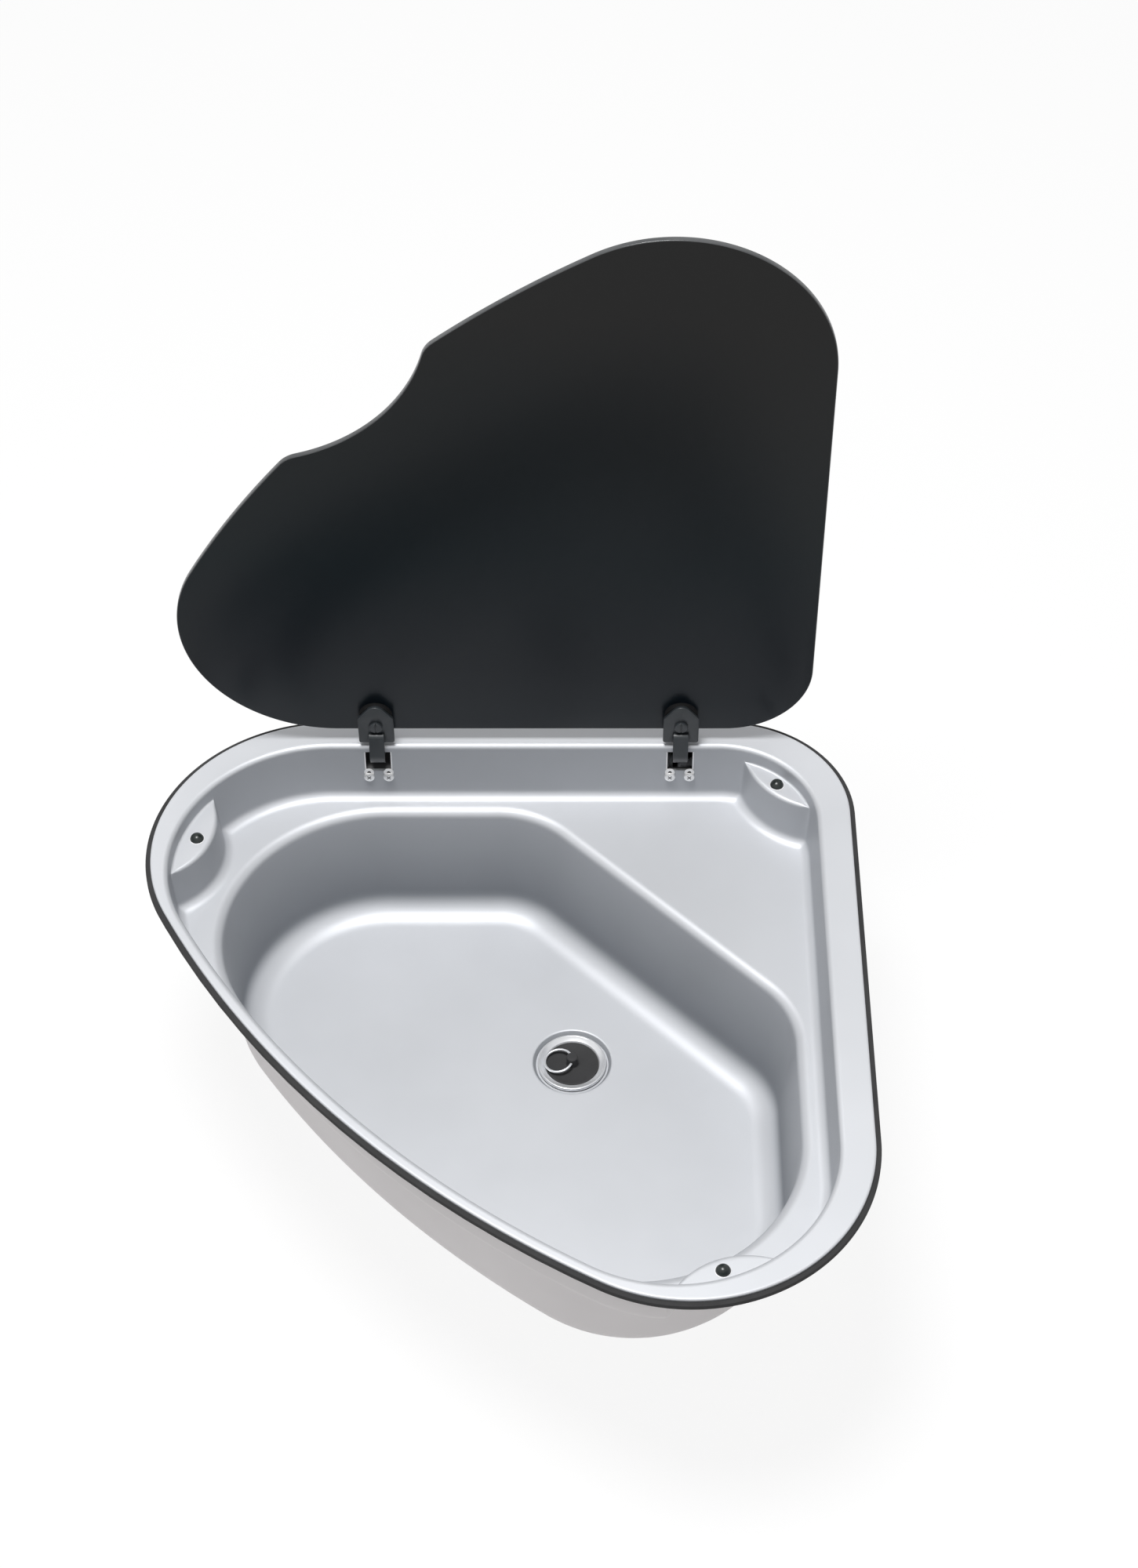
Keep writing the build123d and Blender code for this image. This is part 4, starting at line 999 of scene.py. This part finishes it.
# the tail under the dome, and the lip of the hole round it, painted bright as a highlight, are in (radius,
# height)
buffer = {"radius": 5.0, "height": 4.3, "steps": 14,
          "tail": ((2.4, 0), (2.4, -0.8), (3.2, -1.0), (2.1, -5.4), (1.4, -5.8), (0, -5.8)),
          "lip": ((4.8, 0), (5.5, 0), (5.35, 0.3), (5.05, 0.35))}


def makeSpreadTree():
    # one piece set on each incoming point, then made real
    tree, start, end = treeWith("spreadOnPoints", {"Piece": "Object", "Scale": "Float"})
    source = addNode(tree, "GeometryNodeObjectInfo")
    points = addNode(tree, "GeometryNodeMeshToPoints")
    spread = addNode(tree, "GeometryNodeInstanceOnPoints")
    connect(tree, (start, "Piece", source, "Object"), (start, "Geometry", points, "Mesh"),
            (points, "Points", spread, "Points"), (source, "Geometry", spread, "Instance"),
            (start, "Scale", spread, "Scale"))
    return endTree(tree, start, end, spread, "Instances")


spreadTree = makeSpreadTree()


def spreadPiece(mesh, places, materialName):
    # places are in metres
    source = placed("source", mesh)
    points = bpy.data.meshes.new("places")
    points.from_pydata(places, [], [])
    made = runTree(spreadTree, points, {"Piece": source, "Scale": 1.0, "Finish": materials[materialName]})
    bpy.data.objects.remove(source)
    return made


def makeBuffers():
    radius, height = buffer["radius"], buffer["height"]
    ball = (radius**2 + height**2) / (2 * height)
    dome = []
    for step in range(buffer["steps"] + 1):
        turn = math.asin(radius / ball) * step / buffer["steps"]
        dome.append((ball * math.sin(turn), height - ball + ball * math.cos(turn)))
    places = []
    for name in ("left", "corner", "front"):
        low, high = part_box("buffer_" + name)
        places.append(((low.x + high.x) / 2, (low.y + high.y) / 2, high.z - height * mm))
    domeMesh = latheMesh("dome", dome + list(buffer["tail"]), (0, 0), segments=40, closed=False)
    domes = spreadPiece(domeMesh, places, "buffers")
    # the lips round the holes get a near-white finish: painted highlight
    paintedHighlightLips = spreadPiece(latheMesh("holeLip", buffer["lip"], (0, 0), segments=40), places, "paintedHighlightEdge")
    mesh = joined("bufferDomes", [marked(domes, 0), marked(paintedHighlightLips, 1)])
    nodes = ["buffer_left", "buffer_corner", "buffer_front"]
    finishPiece("bufferDomes", mesh, "sink", ["buffers", "paintedHighlightEdge"], nodes)


makeBuffers()
print("buffers made")


# ---- the waste in the floor

waste = {
    "radius": 25.0, "thick": 2.5, "edge": 0.7, "footSoft": 0.2, "funnelRadius": 23.4, "funnelDepth": 1.6,
    "lipRound": 0.35, "seatMouth": 20.1, "seatSoft": (0.3, 0.12, 0.1), "seatDepth": 8.0, "bore": 17.4,
    "tail": 20.7, "tailSoft": 0.4, "length": 27.0,
    "strainerDepth": 16.0, "strainerThick": 2.0, "bars": 3, "bar": 2.4, "barOver": 1.0, "barRound": 0.35,
    "hub": 3.6, "hubRound": 0.5,
}
floorZ = rimTop - bowl["wellDepth"]


def makeWaste():
    top, edge, lipRound, tail = floorZ, waste["edge"], waste["lipRound"], waste["tail"]
    rim, foot, soft = waste["radius"], top - waste["thick"], waste["footSoft"]
    seat, end = top - waste["funnelDepth"], top - waste["length"]
    out, up, down = waste["seatSoft"]
    profile = [(tail, foot), (rim - soft, foot), (rim, foot + soft)]
    profile += arcPoints((rim - edge, top - edge), edge, 0, 90, 6)
    profile += arcPoints((waste["funnelRadius"] + lipRound, top - lipRound), lipRound, 90, 150, 5)
    profile += [(waste["seatMouth"] + out, seat + up), (waste["seatMouth"], seat - down)]
    profile += [(waste["bore"], seat - waste["seatDepth"]), (waste["bore"], end)]
    profile += [(tail - waste["tailSoft"], end), (tail, end + waste["tailSoft"])]
    parts = [latheMesh("wasteShell", profile, (drainX, drainY), segments=128)]

    # the strainer's bars cross under a round hub
    high, low = top - waste["strainerDepth"], top - waste["strainerDepth"] - waste["strainerThick"]
    for index in range(waste["bars"]):
        bar = bpy.data.meshes.new("bar")
        work = bmesh.new()
        bmesh.ops.create_cube(work, size=1)
        size = (2 * waste["bore"] + waste["barOver"], waste["bar"], waste["strainerThick"])
        bmesh.ops.scale(work, vec=[value * mm for value in size], verts=work.verts)
        bmesh.ops.bevel(work, geom=work.edges, offset=waste["barRound"] * mm, segments=2, affect="EDGES")
        turn = Matrix.Rotation(math.pi * index / waste["bars"], 3, "Z")
        bmesh.ops.rotate(work, matrix=turn, verts=work.verts)
        bmesh.ops.translate(work, vec=Vector((drainX, drainY, (high + low) / 2)) * mm, verts=work.verts)
        work.to_mesh(bar)
        work.free()
        parts.append(bar)
    hub, hubRound = waste["hub"], waste["hubRound"]
    hubProfile = [(0, high)] + arcPoints((hub - hubRound, high - hubRound), hubRound, 90, 0, 4)
    hubProfile += [(hub, low), (0, low)]
    parts.append(latheMesh("hub", hubProfile, (drainX, drainY), segments=32, closed=False))
    mesh = joined("wasteFlange", parts)
    finishPiece("wasteFlange", mesh, "sink", ["chrome"], ["waste_flange"], sharpAngle=35)


# "border" is how far from the edge the dent in the top starts and reaches its depth, "dentEnd" how far from
# the knob's foot it ends; the side ends "sideEnd" edge rounds below the top, and the round is "edgeIn" inside
plug = {"radius": 19.5, "drop": 2.2, "depth": 7.0, "edge": 0.5, "sideEnd": 1.6, "edgeIn": 0.1,
        "footSoft": 0.5, "border": (1.6, 2.0), "dent": 0.25, "dentEnd": 0.4, "knob": 4.1, "knobFoot": 1.0,
        "knobRound": 1.0, "wire": 0.9, "outer": 11.0, "ringSteps": (120, 16)}


def makePlug():
    low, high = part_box("plug")
    top, foot, knobTop = floorZ - plug["drop"], low.z / mm, high.z / mm
    slope = (waste["seatMouth"] - waste["bore"]) / waste["seatDepth"]
    radius, edge, soft, dent = plug["radius"], plug["edge"], plug["footSoft"], top - plug["dent"]
    knob, knobFoot, knobRound = plug["knob"], plug["knobFoot"], plug["knobRound"]
    narrow = radius - slope * plug["depth"]
    profile = [(0, foot), (narrow - soft, foot), (narrow, foot + soft)]
    profile += [(radius - slope * edge, top - edge * plug["sideEnd"])]
    profile += arcPoints((radius - edge - plug["edgeIn"], top - edge), edge, 0, 90, 5)
    profile += [(radius - plug["border"][0], top), (radius - plug["border"][1], dent)]
    profile += [(knob + knobFoot + plug["dentEnd"], dent)]
    profile += arcPoints((knob + knobFoot, dent + knobFoot), knobFoot, 270, 180, 5)
    profile += [(knob, knobTop - knobRound)]
    profile += arcPoints((knob - knobRound, knobTop - knobRound), knobRound, 0, 90, 6)
    profile += [(0, knobTop)]
    mesh = latheMesh("plugBody", profile, (drainX, drainY), closed=False)
    finishPiece("plugBody", mesh, "plug", ["plugRubber"], ["plug"])


def makeRing():
    # it hangs from the knob's hole and leans on the plug
    low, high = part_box("plug_ring")
    holeZ = jointOf["ring_swing"]["pos_m"][2] / mm
    wire, radius = plug["wire"], plug["outer"] - plug["wire"]
    tilt = math.asin((holeZ - (low.z / mm + wire)) / (2 * radius))
    around, across = plug["ringSteps"]
    points = []
    for step in range(around):
        turn = 2 * math.pi * step / around
        for index in range(across):
            bend = 2 * math.pi * index / across
            reach = radius + wire * math.cos(bend)
            x, y, z = reach * math.cos(turn) - radius, reach * math.sin(turn), wire * math.sin(bend)
            points.append(((drainX + x * math.cos(tilt) - z * math.sin(tilt)) * mm, (drainY + y) * mm,
                           (holeZ + x * math.sin(tilt) + z * math.cos(tilt)) * mm))
    mesh = meshFrom("plugRing", points, bandFaces(around, across, True))
    fixNormals(mesh)
    finishPiece("plugRing", mesh, "ring", ["chrome"], ["plug_ring"], sharpAngle=60)


makeWaste()
makePlug()
makeRing()

# hidden under the bowl: each node's rounding, finish, slot and piece
for node, width, finish, slotName, name in (
    ("waste_gasket", 0.15, "darkRubber", "seal_rubber", "wasteGasket"),
    ("waste_under_gasket", 0.3, "darkRubber", "seal_rubber", "underGasket"),
    ("waste_backnut", 0.5, "mouldedBlackAndSlotShade", "waste_plastic", "backnut"),
    ("tail_washer", 0.2, "darkRubber", "seal_rubber", "tailWasher"),
    ("outlet_spigot", 0.3, "mouldedBlackAndSlotShade", "waste_plastic", "outletSpigot"),
    ("outlet_nut", 0.5, "mouldedBlackAndSlotShade", "waste_plastic", "outletNut"),
):
    finishPiece(name, bevelledCopy(node, width), "sink", [finish], [node], sharpAngle=35)
print("waste made")


# ---- floor, lights and camera

studio = {
    "floorGap": 4.0, "floorSize": 8.0, "floorColor": (0.9, 0.9, 0.9), "floorRough": 0.9,
    "white": 1.04, "keepWhite": 0.85, "fill": 0.28,
    "ceiling": 0.6, "ceilingFrom": 0.3, "ceilingTo": 0.9,
    "lampSize": 0.8, "lampPlace": (-0.25, -0.35, 2.2), "lampAim": (0, -0.22, -0.1), "lampPower": 46.0,
}


def seenRays(tree):
    # 1 for what the camera sees directly, in a gloss or through glass
    path = addNode(tree, "ShaderNodeLightPath")
    direct = addNode(tree, "ShaderNodeMath", operation="MAXIMUM")
    seen = addNode(tree, "ShaderNodeMath", operation="MAXIMUM")
    connect(tree, (path, "Is Camera Ray", direct, 0), (path, "Is Glossy Ray", direct, 1),
            (direct, 0, seen, 0), (path, "Is Transmission Ray", seen, 1))
    return seen


def makeFloor():
    half = studio["floorSize"] / 2
    height = cadBounds[0].z - studio["floorGap"] * mm
    corners = [(x * half, y * half, height) for x, y in ((-1, -1), (1, -1), (1, 1), (-1, 1))]
    mesh = meshFrom("floor", corners, [(0, 1, 2, 3)])
    material, tree, shader = makeMaterial("paleFloor")
    setInputs(shader, {"Base Color": (*studio["floorColor"], 1), "Roughness": studio["floorRough"],
                       "Specular IOR Level": 0.0})
    glow = addNode(tree, "ShaderNodeEmission")
    setInputs(glow, {"Strength": studio["white"]})
    most = addNode(tree, "ShaderNodeMath", operation="MULTIPLY")
    setInputs(most, {1: studio["keepWhite"]})
    mix = addNode(tree, "ShaderNodeMixShader")
    connect(tree, (seenRays(tree), 0, most, 0), (most, 0, mix, 0), (shader, 0, mix, 1), (glow, 0, mix, 2),
            (mix, 0, tree.nodes["Material Output"], "Surface"))
    mesh.materials.append(material)
    floor = placed("floor", mesh)


def makeWorld():
    # a white backdrop all round that dims towards the ceiling
    world = bpy.data.worlds.new("softStudio")
    bpy.context.scene.world = world
    world.use_nodes = True
    tree = world.node_tree
    back = tree.nodes["Background"]
    setInputs(back, {"Color": (1, 1, 1, 1)})
    level = addNode(tree, "ShaderNodeMapRange")
    setInputs(level, {"To Min": studio["fill"]})
    place = addNode(tree, "ShaderNodeTexCoord")
    parts = addNode(tree, "ShaderNodeSeparateXYZ")
    dome = addNode(tree, "ShaderNodeMapRange", interpolation_type="SMOOTHSTEP")
    setInputs(dome, {"From Min": studio["ceilingFrom"], "From Max": studio["ceilingTo"],
                     "To Min": 1.0, "To Max": studio["ceiling"]})
    connect(tree, (seenRays(tree), 0, level, "Value"), (place, "Generated", parts, 0),
            (parts, "Z", dome, "Value"), (dome, "Result", level, "To Max"),
            (level, "Result", back, "Strength"))


def makeLamp():
    lamp = bpy.data.lights.new("overhead", "AREA")
    lamp.shape = "DISK"
    lamp.size = studio["lampSize"]
    lamp.energy = studio["lampPower"]
    holder = placed("overhead", lamp)
    holder.location = studio["lampPlace"]
    aim = Vector(studio["lampAim"]) - Vector(studio["lampPlace"])
    holder.rotation_euler = aim.to_track_quat("-Z", "Y").to_euler()


makeFloor()
makeWorld()
makeLamp()

view = {"place": (0.03867, -1.54165, 1.63379), "tilt": 41.916, "lens": 69.616, "sensor": 36,
        "shift": (-0.008, 0.0125)}
camera = bpy.data.cameras.new("camera")
camera.lens = view["lens"]
camera.sensor_width = view["sensor"]
camera.shift_x, camera.shift_y = view["shift"]
cameraHolder = placed("camera", camera)
cameraHolder.location = view["place"]
cameraHolder.rotation_euler = (math.radians(view["tilt"]), 0, 0)
bpy.context.scene.camera = cameraHolder
bpy.context.scene.view_settings.view_transform = "Standard"
print("stage made")
